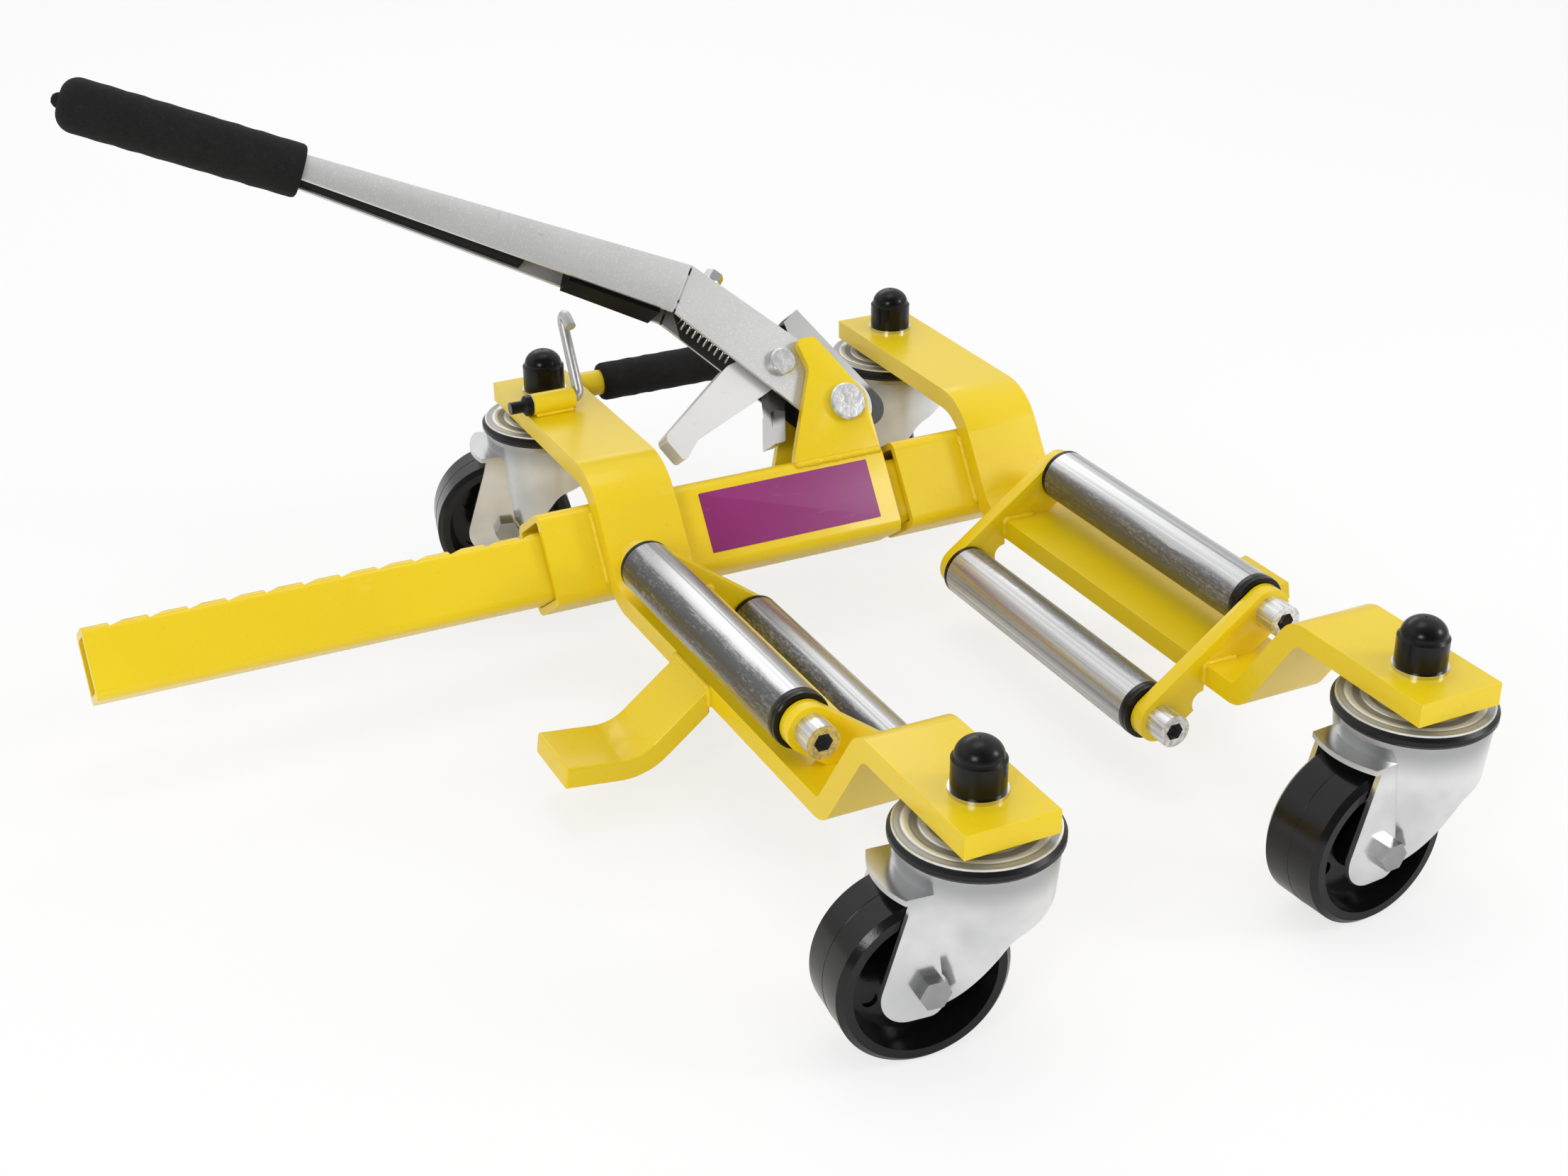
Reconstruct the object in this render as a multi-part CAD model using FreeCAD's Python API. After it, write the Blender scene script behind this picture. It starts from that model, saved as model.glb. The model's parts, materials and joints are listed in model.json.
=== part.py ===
import FreeCAD, Part
import math
import os

os.makedirs("parts", exist_ok=True)

# Frame bars: two flat bars bent the same way, one at each side of the tyre
bar_width = 50.8
bar_thickness = 12.7
bar_gap = 205.6
bar_low_top = 71.3
bar_valley = 129.7
bar_rear_end = 166.76
bar_front_end = 102.26
bar_rear_bend = 28.0
bar_low_bend = 20.0
bar_front_bend = 7.5
slope_from_upright = 34.4

# Casters under the four bar ends
wheel_diameter = 88.9
wheel_width = 38.1
wheel_shoulder = 3.0
wheel_rim = 7.6
wheel_web = 9.0
wheel_hub_radius = 15.0
wheel_dimple = 4.2
wheel_dimple_depth = 1.6
wheel_dimple_count = 6
caster_headroom = 29.2
caster_trail = 32.3
front_left_turn = -4.9
front_right_turn = 4.8
rear_left_turn = -14.0
rear_right_turn = 3.0
caster_front_inset = 31.4
caster_rear_inset = 28.1
race_radius = 39.8
race_height = 5.5
race_sheet = 2.2
seal_radius = 41.8
seal_height = 6.0
seal_width = 7.0
fork_sheet = 3.0
fork_crown_radius = 39.8
fork_crown_sheet = 3.0
fork_hood_radius = 51.0
fork_hood_drop = 7.2
fork_leg_reach = 62.3
fork_leg_drop = 16.05
fork_leg_round = 15.0
fork_knee_reach = 2.0
fork_knee_drop = 32.2
fork_nose_drop = 21.2
fork_heel_reach = 28.5
fork_cone_foot_radius = 33.0
fork_lip_share = 0.682
fork_wheel_room = 5.0
axle_radius = 4.75
axle_head_flats = 14.3
axle_head_height = 6.5
axle_nut_height = 7.0
stem_radius = 6.35
stem_head_radius = 10.0
stem_head_height = 6.0
stem_washer_radius = 14.4
stem_washer_height = 2.0
stem_nut_flats = 19.0
stem_nut_height = 11.0
cap_radius = 13.3
cap_skirt_height = 16.5
cap_height = 26.2

# Tubes of the squeezing slide, tilted with the slope of the bars
sleeve_length = 233.4
sleeve_overhang = 33.3
sleeve_height = 57.15
sleeve_depth = 44.45
sleeve_round = 7.0
tube_wall = 4.76
rack_headroom = 5.33
rack_side_gap = 1.59
rack_round = 6.0
rack_reach = 268.8
collar_gap = 8.4
tooth_pitch = 22.0
tooth_drop = 2.6
tooth_lean = 0.9
tooth_ramp = 9.6
tooth_first = 14.8
tooth_count = 21
slot_left = 56.0
slot_right = 24.0
slot_width = 24.4

# Rollers and their brackets
roller_radius = 21.0
roller_wall = 4.0
roller_high_out = 41.2
roller_high_rise = 23.5
roller_low_in = 28.4
roller_low_drop = 28.4
bracket_round = 17.0
bracket_thickness = 9.5
bracket_front = 104.3
bracket_rear = 108.7
bracket_scallop = 7.0
bush_flange = 3.0
bush_radius = 20.4
bush_spigot = 16.0
bolt_radius = 5.0
bolt_head_radius = 9.6
bolt_head_height = 14.0
bolt_socket_flats = 9.5
bolt_socket_depth = 7.0

# Foot pedals on the outer sides of the bars
pedal_width = 44.5
pedal_middle_y = 21.7
pedal_drop = 1.5
pedal_bend_reach = 42.5
pedal_bend_drop = 35.0
left_pedal_reach = 85.5
left_pedal_tip_drop = 30.0
right_pedal_reach = 90.5
right_pedal_tip_drop = 27.1
pedal_bend = 26.0

# Carry handle and parking hook on the rear left bar end
handle_radius = 8.4
handle_length = 127.0
handle_inset = 12.2
handle_drop = 8.1
handle_grip_radius = 12.5
handle_grip_start = 19.3
handle_grip_round = 5.0
hook_boss_radius = 7.0
hook_boss_length = 28.0
hook_boss_start = 2.9
hook_inset = 64.7
hook_rod_radius = 3.4
hook_bend = 4.2
hook_rise = 42.5
hook_lean = 29.0
hook_curl = 5.0
hook_curl_turn = 149.0
hook_nose = 7.5
hook_tail = 12.0
hook_cap_radius = 6.6
hook_cap_length = 11.0
hook_cap_collar = 4.0
hook_cap_nose_radius = 3.9

# Ratchet ears, pins, lever and pawls, laid out in the plane of the tilted tubes
pivot_x = 30.8
pivot_rise = 29.95
ear_thickness = 6.35
ear_setback = 0.8
ear_base = 61.0
ear_left = -15.0
ear_height = 79.0
ear_sink = 3.15
ear_corner_shares = [
    (0.0, 0.0), (1.0, 0.0), (1.0, 0.47), (0.60, 1.0), (0.38, 1.0), (0.45, 0.745), (0.055, 0.11),
]
ear_round_shares = [0.02, 0.02, 0.07, 0.06, 0.05, 0.13, 0.06]
pivot_radius = 8.0
pivot_head_radius = 12.0
pivot_head_height = 5.0
lever_sheet = 2.5
lever_low_angle = 132.9
lever_high_angle = 154.4
lever_low_run = 125.4
lever_high_run = 242.0
lever_heel_half = 21.0
lever_bend_half = 16.7
lever_tang_half = 8.0
lever_tang_depth = 19.0
lever_tang_length = 124.0
lever_roof_end = 78.0
lever_grip_radius = 16.5
lever_grip_length = 143.0
lever_grip_round = 11.0
lever_grip_nib = 4.5
lever_grip_nib_length = 4.0
lever_pad_start = 11.6
lever_pad_length = 60.0
lever_pad_height = 9.0
lever_pad_hang = 3.0
lever_bolt_share = 0.885
lever_bolt_radius = 3.2
lever_bolt_flats = 11.0
lever_bolt_head = 7.4
lever_washer_radius = 8.4
lever_washer_height = 3.6
lever_bolt_length = 24.0
lever_pin_arm = 47.8
lever_pin_angle = 134.0
lever_pin_radius = 6.0
lever_pin_head_radius = 8.6
lever_pin_head_height = 4.8
spring_turns = 9
spring_radius = 4.3
spring_wire = 0.7
spring_pitch = 4.4
spring_gap = 0.2
trigger_sheet = 2.0
trigger_boss = 10.5
trigger_reach = 92.4
trigger_angle = 208.0
trigger_corner_shares = [(0.297, 0.222), (1.0, 0.136), (1.0, -0.079), (0.818, -0.023), (0.195, -0.096)]
trigger_round_shares = [0.1, 0.05, 0.03, 0.1, 0.06]
pawl_boss = 9.0
pawl_length = 52.8
pawl_angle = 254.9
pawl_toe_thickness = 7.0
pawl_toe_width = 22.0
pawl_toe_height = 22.0
pawl_toe_bevel = 2.6
saddle_sheet = 3.0
saddle_long = 95.0
saddle_foot_share = 0.337
saddle_angle = 122.0
saddle_back_offset = 25.4
saddle_width = 13.0
bumper_radius = 4.5
saddle_round = 12.0
catch_boss = 13.0
catch_tip_x = 0.4
catch_tip_rise = 0.5
catch_arm = 10.0

# How much of a corner's full size its round takes
link_round_share = 0.999
heel_round_share = 0.94
boss_round_share = 0.84
catch_round_share = 0.76

# Hexagon heads and nuts
hexagon_sides = 6

# Fits
slide_clearance = 0.3
turn_clearance = 0.05
face_clearance = 0.4
roller_clearance = 0.5

# Lengths that follow from the ones above
wheel_radius = wheel_diameter / 2
caster_height = wheel_diameter + caster_headroom
bar_end_top = caster_height + bar_thickness
bar_inner = bar_gap / 2
bar_outer = bar_inner + bar_width
bar_middle = bar_inner + bar_width / 2
slope = math.radians(slope_from_upright)
slope_run = (bar_end_top - bar_low_top) * math.tan(slope)
bar_rear_reach = bar_valley + slope_run + bar_rear_end
bar_front_reach = bar_valley + slope_run + bar_front_end
front_caster_y = caster_front_inset - bar_front_reach
rear_caster_y = bar_rear_reach - caster_rear_inset
fork_gap = wheel_width / 2 + face_clearance + slide_clearance
fork_half = fork_gap + fork_sheet
crown_top = caster_height - race_height - seal_height - face_clearance
crown_low = crown_top - fork_crown_sheet
fork_hood_height = crown_low - fork_hood_drop
fork_knee_height = crown_low - fork_knee_drop
fork_nose_height = crown_low - fork_nose_drop
fork_leg_foot = wheel_radius - fork_leg_drop
roller_high_x = bar_inner + roller_high_out
roller_high_z = bar_low_top + roller_high_rise
roller_low_x = bar_inner - roller_low_in
roller_low_z = bar_low_top - roller_low_drop
pedal_top = bar_low_top - pedal_drop
pedal_bend_top = bar_low_top - pedal_bend_drop
handle_z = bar_end_top - handle_drop
sleeve_left = -bar_outer - sleeve_overhang
sleeve_right = sleeve_left + sleeve_length
tube_y = bar_valley + bar_thickness * math.cos(slope)
tube_z = bar_low_top - bar_thickness * math.sin(slope)
rack_left = sleeve_left - rack_reach
rack_low = tube_wall + slide_clearance
rack_height = sleeve_height - 2 * tube_wall - slide_clearance - rack_headroom
rack_depth = sleeve_depth - 2 * tube_wall - 2 * rack_side_gap
pivot_up = sleeve_height + pivot_rise
ear_foot = sleeve_height - ear_sink
rack_top = rack_low + rack_height
rack_front = (sleeve_depth - rack_depth) / 2
roller_front = -bracket_front + bracket_thickness + roller_clearance
roller_rear = bracket_rear - roller_clearance
depth_middle = sleeve_depth / 2
ear_inner = ear_setback + ear_thickness
lever_half = depth_middle - ear_inner - face_clearance
saddle_half = lever_half - lever_sheet - face_clearance
trigger_half = saddle_half - saddle_sheet - face_clearance
pawl_half = trigger_half - trigger_sheet
tilt = FreeCAD.Placement(
    FreeCAD.Vector(0, tube_y, tube_z), FreeCAD.Rotation(FreeCAD.Vector(1, 0, 0), -slope_from_upright)
)
AXIS_X = FreeCAD.Vector(1, 0, 0)
AXIS_Y = FreeCAD.Vector(0, 1, 0)
AXIS_Z = FreeCAD.Vector(0, 0, 1)


def vec(x, y, z):
    return FreeCAD.Vector(x, y, z)


def in_side_plane(x):
    return lambda a, b: vec(x, a, b)


def in_front_plane(y):
    return lambda a, b: vec(a, y, b)


def outline(corners, place):
    """A closed wire through flat corners (a, b, radius), each corner rounded by its radius."""
    flat = [FreeCAD.Vector(a, b, 0) for a, b, radius in corners]
    starts = []
    edges = []
    for i, corner in enumerate(flat):
        radius = corners[i][2]
        back = (flat[i - 1] - corner).normalize()
        ahead = (flat[(i + 1) % len(flat)] - corner).normalize()
        half = back.getAngle(ahead) / 2
        reach = radius / math.tan(half)
        middle = (back + ahead).normalize() * (radius / math.sin(half) - radius)
        starts.append((corner + back * reach, corner + middle, corner + ahead * reach, radius))
    for i, (start, middle, end, radius) in enumerate(starts):
        points = [place(p.x, p.y) for p in (starts[i - 1][2], start, middle, end)]
        if (points[1] - points[0]).Length > turn_clearance / 10:
            edges.append(Part.makeLine(points[0], points[1]))
        if radius > 0:
            edges.append(Part.Arc(points[1], points[2], points[3]).toShape())
    return Part.Wire(Part.__sortEdges__(edges))


def prism(corners, place, push):
    return Part.Face(outline(corners, place)).extrude(push)


def strip(points, bends, thickness):
    """Corners of a bent flat bar: the given top line with its inner bend radii, and its underside."""
    top = []
    under = []
    count = len(points)
    flat = [FreeCAD.Vector(a, b, 0) for a, b in points]
    for i, point in enumerate(flat):
        before = (point - flat[i - 1]).normalize() if i > 0 else None
        after = (flat[i + 1] - point).normalize() if i < count - 1 else None
        before = before or after
        after = after or before
        normal_before = vec(before.y, -before.x, 0)
        normal_after = vec(after.y, -after.x, 0)
        mitre = (normal_before + normal_after).normalize()
        drop = mitre * (thickness / mitre.dot(normal_before))
        turn = before.x * after.y - before.y * after.x
        bend = bends[i - 1] if 0 < i < count - 1 else 0
        outer = bend + thickness if bend else 0
        top.append((point.x, point.y, bend if turn > 0 else outer))
        under.append((point.x + drop.x, point.y + drop.y, outer if turn > 0 else bend))
    return top + under[::-1]


def box_corners(a0, b0, a1, b1, radius=0):
    return [(a0, b0, radius), (a1, b0, radius), (a1, b1, radius), (a0, b1, radius)]


def corner_reach(flats):
    """From a hexagon's middle to its corners, from its size across flats."""
    return flats / (2 * math.cos(math.pi / hexagon_sides))


def hex_prism(flats, start, axis, height):
    """A hexagonal prism on a point, along the Y or Z axis."""
    corner = corner_reach(flats)
    points = []
    for i in range(6):
        angle = math.radians(60 * i)
        a = corner * math.cos(angle)
        b = corner * math.sin(angle)
        points.append(start + (vec(a, 0, b) if axis == AXIS_Y else vec(a, b, 0)))
    return Part.Face(Part.makePolygon(points + points[:1])).extrude(axis * height)


def turned(profile, centre, axis):
    """A ring or disc turned round an axis from its (radius, height) profile."""
    side = AXIS_X
    points = [centre + side * r + axis * h for r, h in profile]
    face = Part.Face(Part.makePolygon(points + points[:1]))
    return face.revolve(centre, axis, 360)


def pin_head(radius, height):
    """The (radius, height) profile of a flat pin head with a bevelled rim."""
    bevel = height / 5
    return [(0, 0), (radius, 0), (radius, height - bevel), (radius - bevel, height), (0, height)]


def polar(x, up, angle, distance, across=0):
    """A point in the plane of the tubes: along an angle from a start, and across to its right."""
    a = math.radians(angle)
    return (
        x + distance * math.cos(a) + across * math.sin(a),
        up + distance * math.sin(a) - across * math.cos(a),
    )


def tilted(shape):
    shape.Placement = tilt.multiply(shape.Placement)
    return shape


def mirrored(shape):
    return shape.mirror(vec(0, 0, 0), AXIS_X)


def export(node, *shapes):
    for shape in shapes:
        if not shape.isValid():
            print("not valid", node)
    piece = shapes[0] if len(shapes) == 1 else Part.makeCompound(list(shapes))
    piece.exportStep("parts/" + node + ".step")


# Frame bar: one bent strip, drilled for the caster stems
bar_line = [
    (bar_rear_reach, bar_end_top),
    (bar_valley + slope_run, bar_end_top),
    (bar_valley, bar_low_top),
    (-bar_valley, bar_low_top),
    (-bar_valley - slope_run, bar_end_top),
    (-bar_front_reach, bar_end_top),
]
bar_bends = [bar_rear_bend, bar_low_bend, bar_front_bend, bar_front_bend]
bar_corners = strip([(-y, z) for y, z in bar_line], bar_bends, bar_thickness)
right_bar = prism([(-a, b, r) for a, b, r in bar_corners], in_side_plane(bar_inner), AXIS_X * bar_width)
for caster_y in (front_caster_y, rear_caster_y):
    hole = Part.makeCylinder(stem_radius, bar_end_top, vec(bar_middle, caster_y, 0))
    right_bar = right_bar.cut(hole)
export("right_frame_bar", right_bar)
export("left_frame_bar", mirrored(right_bar))

# Roller brackets: a slanted link that sits on the bar's top and against its inner side
bracket_lean = math.atan2(roller_high_z - roller_low_z, roller_high_x - roller_low_x)
bracket_span = math.hypot(roller_high_z - roller_low_z, roller_high_x - roller_low_x)


def bracket(front_y):
    link_round = bracket_round * link_round_share
    corners = box_corners(
        -bracket_round, -bracket_round, bracket_span + bracket_round, bracket_round, link_round
    )
    turn_cos = math.cos(bracket_lean)
    turn_sin = math.sin(bracket_lean)
    link = prism(
        corners,
        lambda a, b: vec(
            roller_low_x + a * turn_cos - b * turn_sin, front_y, roller_low_z + a * turn_sin + b * turn_cos
        ),
        AXIS_Y * bracket_thickness,
    )
    seat = Part.makeBox(bar_width * 2, bracket_thickness, bar_low_top, vec(bar_inner, front_y, 0))
    link = link.cut(seat)
    relief_z = roller_low_z + (bar_inner - roller_low_x) * math.tan(bracket_lean) - bracket_round / turn_cos
    relief = Part.makeCylinder(bracket_scallop, bracket_thickness, vec(bar_inner, front_y, relief_z), AXIS_Y)
    link = link.cut(relief)
    for x, z in ((roller_high_x, roller_high_z), (roller_low_x, roller_low_z)):
        link = link.cut(Part.makeCylinder(bolt_radius, bracket_thickness, vec(x, front_y, z), AXIS_Y))
    return link


front_bracket = bracket(-bracket_front)
rear_bracket = bracket(bracket_rear)
export("right_bracket_front", front_bracket)
export("right_bracket_rear", rear_bracket)
export("left_bracket_front", mirrored(front_bracket))
export("left_bracket_rear", mirrored(rear_bracket))


# Rollers: tube, two flanged bushes and a long socket screw as axle
def roller(x, z):
    tube_front = roller_front + bush_flange
    tube_length = roller_rear - bush_flange - tube_front
    bore = roller_radius - roller_wall
    tube = Part.makeCylinder(roller_radius, tube_length, vec(x, tube_front, z), AXIS_Y)
    tube = tube.cut(Part.makeCylinder(bore, tube_length, vec(x, tube_front, z), AXIS_Y))
    hole = bolt_radius + turn_clearance
    bush = [(hole, 0), (bush_radius, 0), (bush_radius, bush_flange), (bore, bush_flange)]
    bush = bush + [(bore, bush_flange + bush_spigot), (hole, bush_flange + bush_spigot)]
    bushes = [turned(bush, vec(x, roller_front, z), AXIS_Y), turned(bush, vec(x, roller_rear, z), -AXIS_Y)]
    shank_length = bracket_front + bracket_rear + bracket_thickness
    axle = Part.makeCylinder(bolt_radius, shank_length, vec(x, -bracket_front, z), AXIS_Y)
    head_start = vec(x, -bracket_front, z)
    axle = axle.fuse(Part.makeCylinder(bolt_head_radius, bolt_head_height, head_start, -AXIS_Y))
    socket_start = vec(x, -bracket_front - bolt_head_height, z)
    axle = axle.cut(hex_prism(bolt_socket_flats, socket_start, AXIS_Y, bolt_socket_depth))
    return tube, bushes, axle.removeSplitter()


high_roller = roller(roller_high_x, roller_high_z)
low_roller = roller(roller_low_x, roller_low_z)
for side in ("right", "left"):
    turn = mirrored if side == "left" else (lambda shape: shape)
    for level, (tube, bushes, axle) in (("high", high_roller), ("low", low_roller)):
        export(side + "_roller_" + level, turn(tube))
        export(side + "_bushes_" + level, *[turn(bush) for bush in bushes])
    export(side + "_roller_screws", turn(high_roller[2]), turn(low_roller[2]))

# Foot pedal: a bent flat bar welded to the bar's outer side
def foot_pedal(reach, tip_drop):
    line = [
        (bar_outer - pedal_bend, pedal_top + pedal_bend * (pedal_top - pedal_bend_top) / pedal_bend_reach),
        (bar_outer + pedal_bend_reach, pedal_bend_top),
        (bar_outer + reach, bar_low_top - tip_drop),
    ]
    start = pedal_middle_y - pedal_width / 2
    corners = strip(line, [pedal_bend], bar_thickness)
    pedal = prism(corners, in_front_plane(start), AXIS_Y * pedal_width)
    return pedal.cut(Part.makeBox(bar_width, pedal_width, bar_end_top, vec(bar_outer - bar_width, start, 0)))


export("right_pedal", foot_pedal(right_pedal_reach, right_pedal_tip_drop))
export("left_pedal", mirrored(foot_pedal(left_pedal_reach, left_pedal_tip_drop)))


# Caster pieces, built round a stem on the Z axis with the wheel trailing to the left
def wheel_profile():
    half = wheel_width / 2
    rim = wheel_radius - wheel_rim
    hub_half = half + slide_clearance
    web = wheel_web / 2
    return [
        (axle_radius + turn_clearance, -hub_half),
        (wheel_hub_radius, -hub_half),
        (wheel_hub_radius + wheel_shoulder, -web),
        (rim - wheel_shoulder, -web),
        (rim, -half),
        (wheel_radius - wheel_shoulder, -half),
        (wheel_radius, wheel_shoulder - half),
        (wheel_radius, half - wheel_shoulder),
        (wheel_radius - wheel_shoulder, half),
        (rim, half),
        (rim - wheel_shoulder, web),
        (wheel_hub_radius + wheel_shoulder, web),
        (wheel_hub_radius, hub_half),
        (axle_radius + turn_clearance, hub_half),
    ]


def caster_wheel():
    centre = vec(-caster_trail, 0, wheel_radius)
    wheel = turned(wheel_profile(), centre, AXIS_Y)
    ring = (wheel_radius - wheel_rim + wheel_hub_radius) / 2
    for i in range(wheel_dimple_count):
        angle = 2 * math.pi * (i + 0.5) / wheel_dimple_count
        spot = centre + vec(ring * math.cos(angle), 0, ring * math.sin(angle))
        start = spot - AXIS_Y * (wheel_web / 2)
        wheel = wheel.cut(Part.makeCylinder(wheel_dimple, wheel_dimple_depth, start, AXIS_Y))
    return wheel


def caster_fork():
    side = [
        (-fork_crown_radius, crown_low, 0),
        (-fork_leg_reach * fork_lip_share, fork_hood_height - fork_sheet, 0),
        (-fork_leg_reach, fork_leg_foot, fork_leg_round),
        (-fork_heel_reach, fork_leg_foot, fork_leg_round / 2),
        (fork_knee_reach, fork_knee_height, fork_leg_round),
        (fork_crown_radius, fork_nose_height, 0),
        (fork_crown_radius, crown_low, 0),
    ]
    trim = prism(side, in_front_plane(-fork_crown_radius), AXIS_Y * (2 * fork_crown_radius))
    cone_height = crown_low - fork_leg_foot
    foot = vec(0, 0, fork_leg_foot)
    cone = Part.makeCone(fork_cone_foot_radius, fork_crown_radius, cone_height, foot)
    hollow = Part.makeCone(
        fork_cone_foot_radius - fork_sheet, fork_crown_radius - fork_sheet, cone_height, foot
    )
    leg_block = Part.makeBox(
        fork_leg_reach, 2 * fork_half, fork_hood_height - fork_leg_foot,
        vec(-fork_leg_reach, -fork_half, fork_leg_foot),
    )
    room_front = wheel_radius - caster_trail + fork_wheel_room
    wheel_room = Part.makeBox(
        room_front + caster_trail + 2 * wheel_radius, 2 * fork_gap, fork_hood_height - fork_sheet,
        vec(-caster_trail - 2 * wheel_radius, -fork_gap, 0),
    )
    wall = cone.fuse(leg_block).common(trim).cut(hollow).cut(wheel_room)
    crown = Part.makeCylinder(fork_crown_radius, fork_crown_sheet, vec(0, 0, crown_low))
    hood = Part.makeCylinder(fork_hood_radius, fork_sheet, vec(0, 0, fork_hood_height - fork_sheet))
    hood_band = Part.makeBox(
        fork_hood_radius, 2 * fork_half, bar_end_top, vec(-fork_hood_radius, -fork_half, 0)
    )
    hood = hood.common(hood_band)
    stem_room = Part.makeCylinder(fork_hood_radius / 2, fork_sheet, vec(0, 0, fork_hood_height - fork_sheet))
    fork = crown.fuse(hood.cut(stem_room)).fuse(wall).removeSplitter()
    fork = fork.cut(Part.makeCylinder(stem_radius + turn_clearance, bar_end_top, vec(0, 0, 0)))
    swing_start = vec(-caster_trail, -fork_gap, wheel_radius)
    fork = fork.cut(Part.makeCylinder(wheel_radius + fork_sheet, 2 * fork_gap, swing_start, AXIS_Y))
    spot_radius = corner_reach(axle_head_flats) + face_clearance
    for side in (-1, 1):
        spot_start = vec(-caster_trail, side * fork_half, wheel_radius)
        fork = fork.cut(Part.makeCylinder(spot_radius, axle_nut_height, spot_start, AXIS_Y * side))
    axle_start = vec(-caster_trail, -fork_half, wheel_radius)
    return fork.cut(Part.makeCylinder(axle_radius, 2 * fork_half, axle_start, AXIS_Y))


def caster_axle():
    start = vec(-caster_trail, -fork_half, wheel_radius)
    end = start + AXIS_Y * (2 * fork_half)
    bolt = Part.makeCylinder(axle_radius, 2 * fork_half, start, AXIS_Y)
    bolt = bolt.fuse(hex_prism(axle_head_flats, start - AXIS_Y * axle_head_height, AXIS_Y, axle_head_height))
    return bolt.fuse(hex_prism(axle_head_flats, end, AXIS_Y, axle_nut_height))


def caster_race():
    low = caster_height - race_height
    step = (race_radius - stem_washer_radius) / 4
    rim = low + 0.7 * race_sheet
    profile = [
        (stem_radius, caster_height - race_sheet),
        (stem_radius, caster_height),
        (stem_washer_radius + 0.6 * step, caster_height),
        (stem_washer_radius + 1.2 * step, rim + race_sheet / 5),
        (stem_washer_radius + 2 * step, rim - race_sheet / 5),
        (stem_washer_radius + 2.6 * step, rim - race_sheet / 5),
        (stem_washer_radius + 3 * step, rim),
        (stem_washer_radius + 3.5 * step, rim),
        (race_radius, low + race_sheet / 2),
        (race_radius, low),
        (stem_washer_radius + 0.8 * step, low),
        (stem_washer_radius, caster_height - race_sheet),
    ]
    return turned(profile, vec(0, 0, 0), AXIS_Z)


def caster_seal():
    low = caster_height - race_height - seal_height
    inner = seal_radius - seal_width
    lip = seal_width / 4
    profile = [
        (inner, low),
        (seal_radius - lip, low),
        (seal_radius, low + lip),
        (seal_radius, low + seal_height - lip),
        (seal_radius - lip, low + seal_height),
        (inner, low + seal_height),
    ]
    return turned(profile, vec(0, 0, 0), AXIS_Z)


def caster_stem():
    head_low = crown_low - slide_clearance - stem_head_height
    washer_top = bar_end_top + stem_washer_height
    stem = Part.makeCylinder(stem_radius, washer_top + stem_nut_height - head_low, vec(0, 0, head_low))
    stem = stem.fuse(Part.makeCylinder(stem_head_radius, stem_head_height, vec(0, 0, head_low)))
    stem = stem.fuse(Part.makeCylinder(stem_washer_radius, stem_washer_height, vec(0, 0, bar_end_top)))
    return stem.fuse(hex_prism(stem_nut_flats, vec(0, 0, washer_top), AXIS_Z, stem_nut_height))


def caster_cap():
    low = bar_end_top + stem_washer_height
    bevel = race_sheet / 2
    cavity = corner_reach(stem_nut_flats)
    skirt = [(0, 0), (cap_radius, 0), (cap_radius, cap_skirt_height - bevel)]
    skirt = skirt + [(cap_radius - bevel, cap_skirt_height), (0, cap_skirt_height)]
    cap = turned(skirt, vec(0, 0, low), AXIS_Z)
    dome_middle = vec(0, 0, low + cap_skirt_height)
    dome = Part.makeSphere(cap_height - cap_skirt_height, dome_middle, AXIS_Z, 0, 90, 360)
    return cap.fuse(dome).cut(Part.makeCylinder(cavity, stem_nut_height, vec(0, 0, low)))


caster_places = {
    "left": (vec(-bar_middle, front_caster_y, 0), vec(-bar_middle, rear_caster_y, 0)),
    "right": (vec(bar_middle, front_caster_y, 0), vec(bar_middle, rear_caster_y, 0)),
}
caster_turns = {
    "front_left": front_left_turn,
    "front_right": front_right_turn,
    "rear_left": rear_left_turn,
    "rear_right": rear_right_turn,
}


def placed(shape, place, turn):
    piece = shape.copy()
    piece.Placement = FreeCAD.Placement(place, FreeCAD.Rotation(AXIS_Z, turn))
    return piece


fork_shape = caster_fork()
wheel_shape = caster_wheel()
axle_shape = caster_axle()
shared = {
    "_caster_races": caster_race(),
    "_caster_seals": caster_seal(),
    "_caster_stems": caster_stem(),
    "_stem_caps": caster_cap(),
}
for side, places in caster_places.items():
    for end, place in zip(("front", "rear"), places):
        node = end + "_" + side
        turn = caster_turns[node]
        export(node + "_fork", placed(fork_shape, place, turn))
        export(node + "_wheel", placed(wheel_shape, place, turn))
        export(node + "_axle", placed(axle_shape, place, turn))
    for name, shape in shared.items():
        export(side + name, *[shape.translated(place) for place in places])


# Tubes: sleeve with a slot for the pawls, toothed rack tube, and the collar on the sliding frame
def tube_block(left, right, front, low, depth, height, radius):
    corners = box_corners(front, low, front + depth, low + height, radius)
    return prism(corners, in_side_plane(left), AXIS_X * (right - left))


inner_round = sleeve_round - tube_wall
sleeve_solid = tube_block(sleeve_left, sleeve_right, 0, 0, sleeve_depth, sleeve_height, sleeve_round)
sleeve_bore = tube_block(
    sleeve_left, sleeve_right, tube_wall, tube_wall,
    sleeve_depth - 2 * tube_wall, sleeve_height - 2 * tube_wall, inner_round,
)
slot = Part.makeBox(
    slot_left + slot_right, slot_width, 2 * tube_wall,
    vec(-slot_left, depth_middle - slot_width / 2, sleeve_height - 2 * tube_wall),
)
export("sleeve_tube", tilted(sleeve_solid.cut(sleeve_bore).cut(slot)))

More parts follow.
